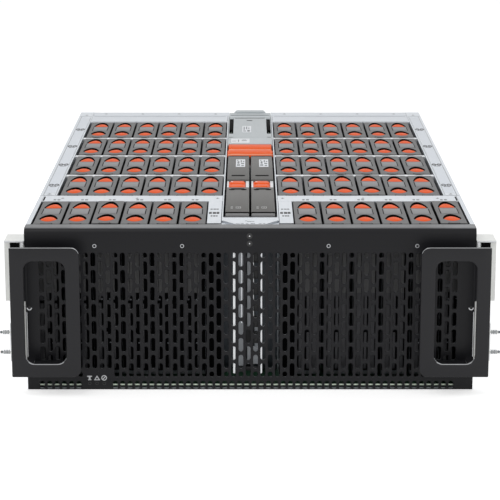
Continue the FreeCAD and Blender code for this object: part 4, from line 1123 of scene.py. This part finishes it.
def buildRearDeck():
    # two bands of the rear deck with a rolled joggle between them, a groove strip, seams and a row of rivets
    sizes = rearSet
    front, fold, rear, roll = sizes["front"], sizes["fold"], sizes["rear"], sizes["roll"]
    lip, skirt = top - sizes["lip"], top - sizes["skirt"]
    wide = nodeBox("rear_decks")[1][0]
    pieces, seams, heads, crosses = [], [], [], []
    head, cross = screwHead(2.2)
    turn = np.linspace(0, math.pi / 2, 5)

    def rolledEdge(y):
        # quarter circle from the top down to the rear, ending at a distance back
        return np.stack([y - roll + roll * np.sin(turn), top - roll + roll * np.cos(turn)], 1)

    profile = np.concatenate([[(front, top)], rolledEdge(fold),
                              [(fold + 0.2, top - 1.2), (fold + 1.6, top), (rear - roll, top)],
                              rolledEdge(rear)[1:],
                              [(rear, lip), (rear - roll, lip), (rear - roll, top - 1.6),
                               (front + roll, top - 1.6), (front + roll, skirt), (front, skirt)]])
    for side in (-1, 1):
        a, b = sorted((side * sizes["inner"], side * wide))
        pieces.append(prism(profile, a, b, "x"))
        seams.append(marks([(a + 2, b - 2, front + 5.0, front + 5.6),
                            (a + 2, b - 2, fold - 6.5, fold - 6.0)], top))
        for x in np.linspace(a + 16, b - 16, 4):
            heads.append(repeated(head, [(x, fold + 12, top - 0.1)]))
            crosses.append(repeated(cross, [(x, fold + 12, top - 0.1)]))
        inner = sorted(side * x for x in sizes["groove"])
        pieces.append(softBlock((inner[0], fold + 0.2, skirt), (inner[1], rear, top), 0.3, 0.3))
    makePiece("rearDecks", [joined(*pieces), joined(*seams), joined(*heads), joined(*crosses)],
              [rearSteel, seamGrey, screwSteel, blackAndShade], "chassis", ["rear_decks"], smooth=40)


print("deck details")
buildDeck()
buildBars()
buildRearDeck()


# boxes as x from, x to, y from, y to, z from, z to; rivets as distance back and height
bracketSet = {"block": (226.4, 235.6, 0.3, 2.4, 140.0, 150.8),
              "clips": ((222.4, 225.6, 0.4, 2.4, 141.0, 150.4), (222.0, 241.3, 0.2, 3.0, 150.4, 151.9)),
              "plate": (223.0, 239.0, 9.0, 11.4, 26.4, 66.0), "pins": (36.0, 56.5), "pinBack": 10.0,
              "coil": (240.5, 246.5, 1.6), "tip": (246.6, 249.2), "face": 223.3,
              "rivets": ((196, 76), (196, 100), (240, 76), (240, 100), (60, 40), (60, 108))}


def buildBrackets():
    # on each bracket: black spring block under its flange, white clips, rivets, pins with a coil and a tip
    sizes = bracketSet
    black = blocksOf([sizes["block"]], 0.8, 0.4)
    clips = blocksOf(sizes["clips"], 0.6, 0.3) + blocksOf([sizes["plate"]], 1.0, 0.4, "y")
    rivets, coils, tips = [], [], []
    head, cross = screwHead(2.6, 0.9)
    for y, z in sizes["rivets"]:
        rivets.append(facingRight(head, (sizes["face"], y, z)))
        black.append(facingRight(cross, (sizes["face"], y, z)))
    points, faces = torus(2.1, 0.45, (0, 0), 0, 12, 5)
    for z in sizes["pins"]:
        loop = (np.stack([points[:, 1], points[:, 0] + sizes["pinBack"], points[:, 2] + z], 1),
                faces[:, ::-1])
        coils.append(repeated(loop, [(x, 0, 0) for x in np.arange(*sizes["coil"])]))
        tips.append(disc(1.4, (sizes["pinBack"], z), *sizes["tip"], "x", 12, 0.6))
    right = [joined(*black), joined(*clips), joined(*rivets, *coils), joined(*tips)]
    for piles, name in ((right, "right"), ([mirrored(pile) for pile in right], "left")):
        makePiece(f"bracketFittings_{name}", piles, [blackAndShade, whitePlate, screwSteel, seamGrey],
                  f"rail_outer_{name}")


railSet = {"slots": (290, 640, 6), "slotHeights": (84, 92), "studs": (268, 618, 6), "studHeights": (70, 106),
           "balls": (180, 640, 24), "ballHeights": (57.3, 118.7)}


def buildRails():
    # slots painted dark as shade and rivets on each outer member, ball cages inside the middle one
    sizes = railSet
    low, high = sizes["slotHeights"]
    for side, name in ((1, "right"), (-1, "left")):
        boxLow, boxHigh = nodeBox(f"rail_outer_{name}")
        outer = max(boxHigh[0], -boxLow[0])
        slots = [softBlock((outer - 0.6, y - 9, low), (outer + 0.08, y + 9, high), 3.9, 0.05, "x")
                 for y in np.linspace(*sizes["slots"])]
        studs = [disc(2.2, (y, z), outer - 0.4, outer + 0.3, "x", 12, 0.3)
                 for y in np.linspace(*sizes["studs"]) for z in sizes["studHeights"]]
        balls = [disc(1.5, (y, z), outer - 9.4, outer - 6.5, "x", 8, 0.5)
                 for y in np.linspace(*sizes["balls"]) for z in sizes["ballHeights"]]
        piles = [joined(*slots), joined(*studs), joined(*balls)]
        if side < 0:
            piles = [mirrored(pile) for pile in piles]
        makePiece(f"railSlots_{name}", piles[:2], [blackAndShade, screwSteel], f"rail_outer_{name}")
        makePiece(f"railBalls_{name}", piles[2], screwSteel, f"rail_middle_{name}")


print("rails and brackets")
buildBrackets()
buildRails()


# slots as middle and half width; lever blocks as box, corner radius and edge; marks as x and y from and to
expanderSet = {"left": 1.0, "right": 25.4, "front": 55.0, "rear": 374.6, "lip": 75.8, "bay": (196.5, 234.0),
               "deck": 12.0, "pitch": 26.4, "slots": ((259.0, 7.4), (187.4, 7.0)),
               "sticker": (10.3, 20.8, 308.0, 352.0),
               "stickerMarks": ((11.4, 15.0, 314, 322), (16.4, 19.4, 312, 318), (12.0, 14.2, 326, 340),
                                (16.0, 19.6, 324, 330), (15.6, 17.0, 334, 346), (18.2, 19.8, 336, 342),
                                (11.6, 13.0, 343, 348)),
               "marks": ((6.4, 8.6, 90, 92), (6.4, 8.6, 94.4, 96), (6.4, 8.6, 98.4, 100),
                         (11.6, 12.2, 91, 99), (12.2, 16.2, 90, 91.2), (12.2, 16.2, 98.8, 100),
                         (16.2, 16.9, 91, 99), (13.4, 15.2, 94, 96)),
               "lever": (((3.2, 21.4, 196.9, 233.0, 157.2, 163.2), 2.6, 1.2),
                         ((4.6, 20.2, 199.0, 214.0, 161.0, 164.6), 2.8, 1.9),
                         ((4.6, 20.2, 217.0, 231.0, 161.0, 164.5), 2.8, 1.0)),
               "dot": (6.8, 226.0), "runner": 27.0}


def expanderPiles():
    # right-hand module: case, pale cheeks beside the lever's bay, slots and gaps painted dark as shade,
    # sticker, marks and lip
    sizes = expanderSet
    x0, x1, y0, y1 = sizes["left"], sizes["right"], sizes["front"], sizes["rear"]
    low, floorLevel = nodeBox("expander_right")[0][2], top - sizes["deck"]
    bay0, bay1 = sizes["bay"]
    grey = [softBlock((x0, y0 + 0.4, low), (x1, y1, floorLevel), 1.2, 0.4),
            softBlock((x0, sizes["lip"], floorLevel - 1), (x1, bay0, top), 1.2, 0.7),
            softBlock((x0, bay1, floorLevel - 1), (x1, y1, top), 1.2, 0.7)]
    lip = softBlock((x0 + 0.2, y0 + 3.4, floorLevel - 1), (x1 - 0.2, sizes["lip"] - 5.4, top - 0.3), 2.0, 0.7)
    grey += [softBlock((x0 + 0.4, y, top - 0.3), (x1 - 0.4, y + 1.2, top + 0.12), 0.3, 0.1)
             for y in (bay1 + 1.2, y1 - 3.0)]
    cheeks = [softBlock((u, bay0 + 0.5, floorLevel - 1), (v, bay1 - 0.5, top - 0.9), 0.8, 0.5)
              for u, v in ((x0 + 0.3, x0 + 2.5), (x1 - 3.8, x1 - 0.2))]
    cheeks += [softBlock((u, bay0 + 1.2, top - 1.2), (v, bay0 + 9.0, top - 0.4), 0.6, 0.3)
               for u, v in ((x0 + 0.5, x0 + 2.4), (x1 - 3.5, x1 - 0.5))]
    middle = (x0 + x1) / 2
    dark = [softBlock((middle - half, y - 3.2, top - 0.2), (middle + half, y + 3.2, top + 0.06), 1.2, 0.02)
            for y, half in sizes["slots"]]
    dark += [disc(3.2, (middle + x, sizes["slots"][1][0] - 3.0), top - 0.2, top + 0.08, "z", 14, 0.02)
             for x in (-6.4, 6.4)]
    dark += [plainBlock((x0 + 0.2, y - 0.5, top - 0.1), (x1 - 0.2, y + 0.5, top + 0.05))
             for y in (y1 - 5.0, bay1 + 3.4)]
    dark.append(plainBlock((x0 + 0.3, sizes["lip"] - 5.6, floorLevel),
                           (x1 - 0.3, sizes["lip"] + 0.1, top - 3.6)))
    dark.append(plainBlock((x0 + 0.5, sizes["lip"] - 0.1, floorLevel),
                           (x1 - 0.5, sizes["lip"] + 0.4, top - 0.5)))
    dark.append(plainBlock((x0 + 0.2, y0, floorLevel - 1), (x1 - 0.2, y0 + 4.0, top - 1.8)))
    s0, s1, s2, s3 = sizes["sticker"]
    sticker = softBlock((s0, s2, top - 0.1), (s1, s3, top + 0.14), 0.6, 0.05)
    return [joined(*grey), joined(*cheeks), joined(*dark), sticker, marks(sizes["stickerMarks"], top + 0.12),
            marks(sizes["marks"], top), lip]


def buildExpanders():
    # both modules are the same piece side by side; each has a runner on its outer side and an orange lever
    sizes = expanderSet
    look = [moduleGrey, whitePlate, blackAndShade, whiteLabel, seamGrey, paleInk, carrierGrey]
    piles = expanderPiles()
    low = nodeBox("expander_right")[0][2]
    runner = softBlock((sizes["right"] - 0.3, sizes["front"] + 2, low),
                       (sizes["runner"], sizes["rear"], low + 8), 0.5, 0.3)
    lever = joined(*[blocksOf([box], radius, edge, "z", 5)[0] for box, radius, edge in sizes["lever"]])
    dot = disc(1.2, sizes["dot"], 164.1, 164.7, "z", 10, 0.2)
    for side, name in ((1, "right"), (-1, "left")):
        shift = [0 if side > 0 else -sizes["pitch"], 0, 0]
        shifted = [(points + shift, faces) for points, faces in piles]
        foot = runner if side > 0 else mirrored(runner)
        makePiece(f"expanderCase_{name}", [joined(shifted[0], foot)] + shifted[1:], look, f"expander_{name}",
                  [f"expander_{name}"])
        makePiece(f"expanderLatch_{name}", [(points + shift, faces) for points, faces in (lever, dot)],
                  [leverOrange, whitePlate], f"release_{name}",
                  [f"expander_release_{name}"])


# labels and marks as x and y from and to
canisterSet = {"half": 26.9, "front": 451.2, "nose": 383.2, "rear": 674.2, "lip": 687.2, "noseTop": 149.3,
               "gap": (520.0, 628.0, 20.8), "plateRear": 634.0, "seam": 495.0,
               "slot": (-4.2, 3.0, 611.0, 615.0),
               "labels": ((-9.6, 1.4, 529.0, 573.0), (-23.0, -0.6, 458.0, 485.0)),
               "marks": ((-8.4, -5.0, 534, 540), (-3.4, -0.2, 533, 545), (-8.0, -6.6, 545, 566),
                         (-5.0, -3.6, 550, 568), (-2.4, -0.6, 554, 560), (-14.6, -13.4, 464, 478),
                         (-10.2, -3.8, 470, 473), (-9.0, -5.0, 476, 478), (-21.6, -16.6, 467, 469)),
               "portX": 11.5, "portHalf": 9.0, "portTall": 8.5, "portWall": 0.6, "portDepth": 14.2}


def buildCanister():
    # interface canister: silver cover with notched sides, gaps with boards in them, labels and seams; the
    # gaps, the slot and the dark lines are painted shade
    sizes = canisterSet
    low, high = nodeBox("io_canister")
    half, roof, base = sizes["half"], high[2], low[2]
    front, rear, plateRear = sizes["front"], sizes["rear"], sizes["plateRear"]
    gap0, gap1, inner = sizes["gap"]
    steel = [softBlock((-half, front, base), (half, rear - 14, roof - 4.2), 0.8, 0.3),
             softBlock((-inner, front, roof - 4.4), (inner, plateRear - 1, roof), 0.4, 0.35),
             softBlock((-half, plateRear, roof - 4.4), (half, rear, roof - 0.4), 0.4, 0.3),
             softBlock((-half, sizes["nose"], base), (half, front + 0.5, sizes["noseTop"]), 1.0, 0.4),
             softBlock((-20.4, rear - 1, roof - 5.9), (20.4, sizes["lip"] - 3, roof + 0.2), 2.4, 0.6),
             softBlock((-18.6, rear - 0.6, roof - 4), (18.6, sizes["lip"], roof + 1.2), 2.4, 0.9)]
    dark, boards = [], []
    for side in (-1, 1):
        a, b = sorted((side * (inner - 0.2), side * half))
        wall = (a, a + 1.0) if side < 0 else (b - 1.0, b)
        ear = sorted((side * (half - 1.3), side * half))
        steel += [softBlock((a, front, roof - 4.4), (b, gap0, roof), 0.3, 0.3),
                  softBlock((a, gap1, roof - 4.4), (b, plateRear - 1, roof), 0.3, 0.3),
                  softBlock((wall[0], gap0 - 1, roof - 4.4), (wall[1], gap1 + 1, roof - 0.6), 0.2, 0.2),
                  softBlock((ear[0], front - 8.4, sizes["noseTop"] - 1), (ear[1], front + 1, roof), 0.4, 0.2)]
        a, b = sorted((side * (inner + 0.2), side * (half - 1.2)))
        dark.append(plainBlock((a, gap0, roof - 4.3), (b, gap1, roof - 4.0)))
        dark.append(plainBlock((a, gap0 + 30, roof - 4.3), (b - 0.4, gap1, roof - 1.2)))
        dark.append(marks([(a, b, gap0 - 26, gap0 - 24)], roof))
        for number, y in enumerate(np.linspace(gap0 + 8, gap1 - 14, 5)):
            rise = -3.4 - 0.2 * (number % 2)
            boards.append(softBlock((a + 1.4, y, roof - 4.2), (b - 1.4, y + 3, roof + rise), 0.4, 0.3))
    dark += [softBlock((x0, y0, roof - 0.3), (x1, y1, roof + 0.06), 1.0, 0.02)
             for x0, x1, y0, y1 in [sizes["slot"]]]
    dark.append(marks([(-19.6, 19.0, plateRear - 3.6, plateRear - 1.4)], roof, thickness=0.15))
    seams = marks([(-half + 1, half - 1, plateRear - 0.9, plateRear - 0.1),
                   (-inner, inner, sizes["seam"], sizes["seam"] + 0.5),
                   (-half + 2, half - 2, rear - 20, rear - 19.5)], roof - 0.5, thickness=0.55)
    labels = [softBlock((x0, y0, roof - 0.1), (x1, y1, roof + 0.14), 0.5, 0.05)
              for x0, x1, y0, y1 in sizes["labels"]]
    tiles, ports, cages, contacts, lamps = canisterRear(base, roof)
    makePiece("canisterCover", [joined(*steel, *tiles), joined(*dark, *ports), joined(*boards), seams,
                                joined(*labels), marks(sizes["marks"], roof + 0.12), joined(*cages),
                                joined(*contacts), joined(*lamps)],
              [canisterSteel, blackAndShade, boardGreen, seamGrey, whiteLabel, seamGrey, screwSteel, goldPin, lamp],
              "canister", ["io_canister"])


def canisterRear(base, roof):
    # rear wall in tiles round the four ports, each port with a cage and contacts; lamps and vents over them,
    # the vents painted dark as shade
    sizes = canisterSet
    face, half, reach, tall, wall, depth = (sizes["rear"], sizes["half"], sizes["portHalf"],
                                            sizes["portTall"], sizes["portWall"], sizes["portDepth"])
    rows = [base + tall, base + 3 * tall]
    levels = [base] + [level for z in rows for level in (z, z + tall)] + [roof - 6.2]
    between = [(-half, -sizes["portX"] - reach), (reach - sizes["portX"], sizes["portX"] - reach),
               (sizes["portX"] + reach, half)]
    tiles, ports, cages, contacts = [], [], [], []
    for number, (z0, z1) in enumerate(zip(levels[:-1], levels[1:])):
        spans = [(-half, half)] if number % 2 == 0 else between
        tiles += [plainBlock((a, face - depth, z0), (b, face, z1)) for a, b in spans]
    for z in rows:
        for x in (-sizes["portX"], sizes["portX"]):
            left, right, upper = x - reach, x + reach, z + tall
            ports.append(plainBlock((left, face - 15.6, z), (right, face - 14.4, upper)))
            cages += [plainBlock((a, face - depth, low), (b, face + 0.3, high))
                      for a, b, low, high in ((left, left + wall, z, upper), (right - wall, right, z, upper),
                                              (left, right, z, z + wall), (left, right, upper - wall, upper))]
            contacts += [plainBlock((a, face - 14.3, z + 2.2), (a + 0.7, face - 8, z + 2.9))
                         for a in x - 6.4 + 1.6 * np.arange(9)]
    light = disc(1.0, (0, 0), -0.3, 0.3, "z", 12, 0.15)
    lamps = [facingRear(light, (x, face, base + 44)) for x in np.linspace(-18, 18, 7)]
    ports += [softBlock((x - 1.3, face - 0.3, z), (x + 1.3, face + 0.05, z + 3.2), 1.2, 0.02, "y", 3)
              for x in np.linspace(-22, 22, 12) for z in (base + 52, base + 57, base + 62)]
    return tiles, ports, cages, contacts, lamps


leverSet = {"front": 387.4, "ridge": 412.0, "rear": 449.8, "low": 158.3, "half": 25.2, "broad": 26.6,
            "bow": 2.4, "pin": (448.2, 161.3)}


def buildLever():
    # broad handle: each section is a flat tail behind a rounded bar, and the bar bows forwards as a parabola
    sizes = leverSet
    across = np.linspace(-1, 1, 25)
    turn = np.linspace(math.pi, 0, 11)
    bows = sizes["bow"] * (1 - across ** 2)
    heights = 5.0 * (1 - 0.35 * across ** 8)
    sections = []
    for bow, height in zip(bows, heights):
        front = sizes["front"] + sizes["bow"] - bow
        reach = sizes["ridge"] - front + 6
        bar = np.stack([front + reach / 2 * (1 + np.cos(turn)),
                        sizes["low"] + 2.2 + height * np.sin(turn) ** 0.8], 1)
        tail = [(sizes["ridge"] + 7.5, sizes["low"] + 3.6), (sizes["ridge"] + 9, sizes["low"] + 5.2),
                (sizes["rear"] - 7, sizes["low"] + 6.8),
                (sizes["rear"] - 2, sizes["low"] + 4.4), (sizes["rear"], sizes["low"] + 3.2),
                (sizes["rear"], sizes["low"] + 0.4), (front + 3, sizes["low"])]
        sections.append(np.concatenate([bar, tail])[::-1])
    points = axisPlace(np.stack(sections), across * sizes["broad"], "x")
    tailPart = points[..., 1] > sizes["ridge"] + 6.5
    points[..., 0] = np.where(tailPart, points[..., 0] * sizes["half"] / sizes["broad"], points[..., 0])
    rings, count = points.shape[:2]
    sides = [list(face) for face in ringFaces(rings, count)]
    ends = [list(range(count))[::-1], list(range((rings - 1) * count, rings * count))]
    lever = (points.reshape(-1, 3), sides + ends)
    pin = disc(1.9, sizes["pin"], -26.8, 26.8, "x", 14, 0.2)
    makePiece("crossLever", [lever, pin], [leverOrange, screwSteel], "cross_lever",
              ["canister_lever"], smooth=50)


print("centre modules")
buildExpanders()
buildCanister()
buildLever()


psuSet = {"half": 26.9, "front": 384.2, "rear": 674.2, "inlet": (-21.9, 5.1, 20.0), "vents": (-24.5, 26, 3.4),
          "blades": ((-5.2, -1), (0, 2), (5.2, -1)), "pull": (12.6, 26.6, 26.0, 12.0), "wireHalf": 1.4}


def frameOf(x0, x1, z0, z1, holeX0, holeX1, holeZ0, holeZ1, front, back):
    # four upright blocks round an oblong hole: left, right, below and above it
    return [plainBlock((x0, front, z0), (holeX0, back, z1)), plainBlock((holeX1, front, z0), (x1, back, z1)),
            plainBlock((holeX0, front, z0), (holeX1, back, holeZ0)),
            plainBlock((holeX0, front, holeZ1), (holeX1, back, z1))]


def wirePull(rear, middle):
    # a flat loop that stands out of the rear wall: its path moved out and in by half the wire
    x0, x1, tall, reach = psuSet["pull"]
    low, high = middle - tall / 2, middle + tall / 2
    path = np.array([[rear - 1, low + 1.5], [rear + reach - 5, low + 1.5], [rear + reach - 1.6, low + 5],
                     [rear + reach - 1.6, high - 5], [rear + reach - 5, high - 1.5], [rear - 1, high - 1.5]])
    outward = np.array([[0, -1], [0.5, -1], [1, -0.4], [1, 0.4], [0.5, 1], [0, 1]]) * psuSet["wireHalf"]
    return prism(np.concatenate([path + outward, (path - outward)[::-1]]), x0 + 0.5, x1 - 0.5, "x")


def buildSupplies():
    # each supply: steel case, vented rear wall in tiles round the inlet, three inlet blades, wire pull, lamp;
    # the vents are painted dark as shade
    sizes = psuSet
    half, rear = sizes["half"], sizes["rear"]
    i0, i1, tall = sizes["inlet"]
    centre = (i0 + i1) / 2
    for name in ("lower", "upper"):
        low, high = nodeBox(f"psu_{name}")
        z0, z1 = low[2], high[2]
        middle = (z0 + z1) / 2
        below, above = middle - tall / 2, middle + tall / 2
        steel = [softBlock((-half, sizes["front"], z0), (half, rear - 16, z1), 0.6, 0.3),
                 *frameOf(-half, half, z0, z1, i0, i1, below, above, rear - 16.2, rear)]
        dark = [plainBlock((i0, rear - 16, below), (i0 + 1.4, rear + 0.4, above)),
                plainBlock((i1 - 1.4, rear - 16, below), (i1, rear + 0.4, above)),
                plainBlock((i0, rear - 16, below), (i1, rear + 0.4, below + 1.4)),
                plainBlock((i0, rear - 16, above - 1.4), (i1, rear + 0.4, above)),
                softBlock((centre - 9, rear - 16, middle - 6.5), (centre + 9, rear - 3, middle + 6.5), 3.0,
                          0.5, "y", 4)]
        blades = [plainBlock((centre + x - 0.9, rear - 3.2, middle + z - 2),
                             (centre + x + 0.9, rear - 0.8, middle + z + 2))
                  for x, z in sizes["blades"]]
        vents = [softBlock((x - 1.2, rear - 0.3, z - 1.2), (x + 1.2, rear + 0.06, z + 1.2), 1.1, 0.02, "y", 3)
                 for x in np.arange(*sizes["vents"]) for z in (z0 + 3.0, z0 + 6.4, z1 - 6.4, z1 - 3.0)
                 if not (abs(x - 19.6) < 8.4 and abs(z - middle) < 14.2)]
        tab = softBlock((8.0, rear, middle - 6), (11.6, rear + 4, middle + 6), 0.8, 0.4)
        light = facingRear(disc(1.2, (0, 0), -0.3, 0.4, "z", 12, 0.2), (9.8, rear, z1 - 5))
        makePiece(f"supply_{name}", [joined(*steel), joined(*dark, *vents), joined(*blades),
                                     wirePull(rear, middle), tab, light],
                  [canisterSteel, blackAndShade, screwSteel, moulding, orange, lamp], f"psu_{name}",
                  [f"psu_{name}"])


fanSet = {"bore": 68.0, "front": 612.2, "rear": 674.2, "hub": 26.0, "blades": 7, "chord": 33.0, "tip": 65.6,
          "rings": (34.0, 44.0, 54.0, 64.0), "wire": 0.9, "rotor": (635.2, 668.5), "plate": 24.0,
          "camber": 3.2, "bladeDepth": 16.2}


def fanMiddle():
    # axis of the right-hand fan as x and z
    low, high = nodeBox("fan_housing_right")
    return (low[0] + high[0]) / 2, (low[2] + high[2]) / 2


def fanHousing():
    # square frame pierced by the air way, corner screws, motor plate on four struts, wire guard at the rear
    sizes = fanSet
    low, high = nodeBox("fan_housing_right")
    x, z = fanMiddle()
    perArc = 25
    turn = np.linspace(0, math.pi, perArc)
    arc = np.stack([np.cos(turn), np.sin(turn)], 1) * sizes["bore"]
    circle = np.concatenate([[[sizes["bore"], 0]], arc, [[-sizes["bore"], 0]], -arc])
    frame = frameOutline((high[0] - low[0]) / 2, low[2] - z, high[2] - z, perArc)
    face, wall = pierced(frame, circle[None], np.array([[x, z]]), -sizes["front"], -sizes["rear"], "y", 1.2)
    sides = stack([roundedOutline((high[0] - low[0]) / 2, (high[2] - low[2]) / 2, 0.05, 2) + [x, z]] * 2,
                  [-sizes["rear"], -sizes["front"]], "y", (False, False))
    rear, radius = sizes["rear"], sizes["plate"]
    points, faces = stack(circles((radius, radius, radius - 2.5), (x, z), 28), [5 - rear, 1 - rear, -rear],
                          "y")
    plate = (points, turnedFaces(faces))
    hub = np.array([x, 0, z])
    strut = softBlock((x + 22, rear - 5, z - 3.2), (x + 68.6, rear - 0.6, z + 3.2), 0.8, 0.5, "y")
    struts = [turnedAbout(strut, math.radians(angle), "Y", hub) for angle in (45, 135, 225, 315)]
    spoke = softBlock((x + 20, rear - 2.0, z - 0.9), (x + 69, rear - 0.4, z + 0.9), 0.6, 0.3, "y", 2)
    guard = [torus(r, sizes["wire"], (x, z), rear - 1.2) for r in sizes["rings"]]
    guard += [turnedAbout(spoke, math.radians(angle), "Y", hub) for angle in (0, 90, 180, 270)]
    head, _ = screwHead(2.8, 0.8)
    screws = [facingRear(head, (x + u, rear - 0.8, z + v)) for u in (-72, 72) for v in (-66, 66)]
    handle = softBlock((x + 77, rear - 1.5, z - 22), (x + 83, rear - 0.1, z + 22), 2.5, 0.3, "y")
    return joined(face, wall, sides, plate, *struts), joined(*guard), joined(*screws), handle


def fanRotor():
    # domed hub with seven blades; each blade is a cambered, twisted sheet, closed at its edges
    sizes = fanSet
    x, z = fanMiddle()
    front, back = sizes["rotor"]
    profile = [(sizes["hub"], -back), (sizes["hub"], -front - 5), (sizes["hub"] - 0.7, -front - 2.4),
               (sizes["hub"] - 3, -front - 0.6), (sizes["hub"] - 9, -front)]
    hub = stack(circles([r for r, _ in profile], (x, z), 42), [level for _, level in profile], "y")
    span = np.linspace(0, 1, 9)[:, None]
    along = np.linspace(0, 1, 9)[None, :]
    radius = sizes["hub"] - 1.5 + (sizes["tip"] - sizes["hub"] + 1.5) * span
    pitch = np.radians(52 - 22 * span)
    chord = sizes["chord"] * (0.8 + 0.2 * np.sin(span * math.pi * 0.9))
    run = (along - 0.5) * chord
    camber = sizes["camber"] * (1 - (2 * along - 1) ** 2)
    half = 0.9 * np.sqrt(np.clip(1 - (2 * along - 1) ** 6, 0.04, 1))
    layers = []
    for offset in (half, -half):
        side = run * np.cos(pitch) - (camber + offset) * np.sin(pitch)
        deep = run * np.sin(pitch) + (camber + offset) * np.cos(pitch)
        angle = side / radius
        layers.append(np.stack([radius * np.sin(angle), deep * np.ones_like(angle), radius * np.cos(angle)],
                               -1))
    rows = len(span)
    loop = np.concatenate([layers[0], layers[1][:, ::-1]], 1)
    count = loop.shape[1]
    faces = np.concatenate([ringFaces(rows, count), capFaces(count, 0, False),
                            capFaces(count, (rows - 1) * count, True)])
    points = loop.reshape(-1, 3)
    middle = np.array([x, (back + front) / 2, z])
    points[:, 1] = np.clip(points[:, 1], -sizes["bladeDepth"], sizes["bladeDepth"])
    blade = (points + middle, faces[:, ::-1])
    blades = [turnedAbout(blade, 2 * math.pi * k / sizes["blades"], "Y", middle)
              for k in range(sizes["blades"])]
    cap = disc(8.0, (x, z), -front, -front + 0.2, "y", 24, 0.1)
    return joined(hub, *blades), cap


def buildFans():
    # the right-hand fan and its mirror image on the left
    fixed, turning = fanHousing(), fanRotor()
    for side, name in ((1, "right"), (-1, "left")):
        framePiles = list(fixed) if side > 0 else [mirrored(pile) for pile in fixed]
        rotorPiles = list(turning) if side > 0 else [mirrored(pile) for pile in turning]
        makePiece(f"fanFrame_{name}", framePiles, [moulding, screwSteel, screwSteel, orange], f"fan_{name}",
                  [f"fan_housing_{name}"])
        makePiece(f"fanBlades_{name}", rotorPiles, [bladeBlack, greyPanel], f"rotor_{name}",
                  [f"fan_rotor_{name}"], smooth=40)


print("supplies and fans")
buildSupplies()
buildFans()
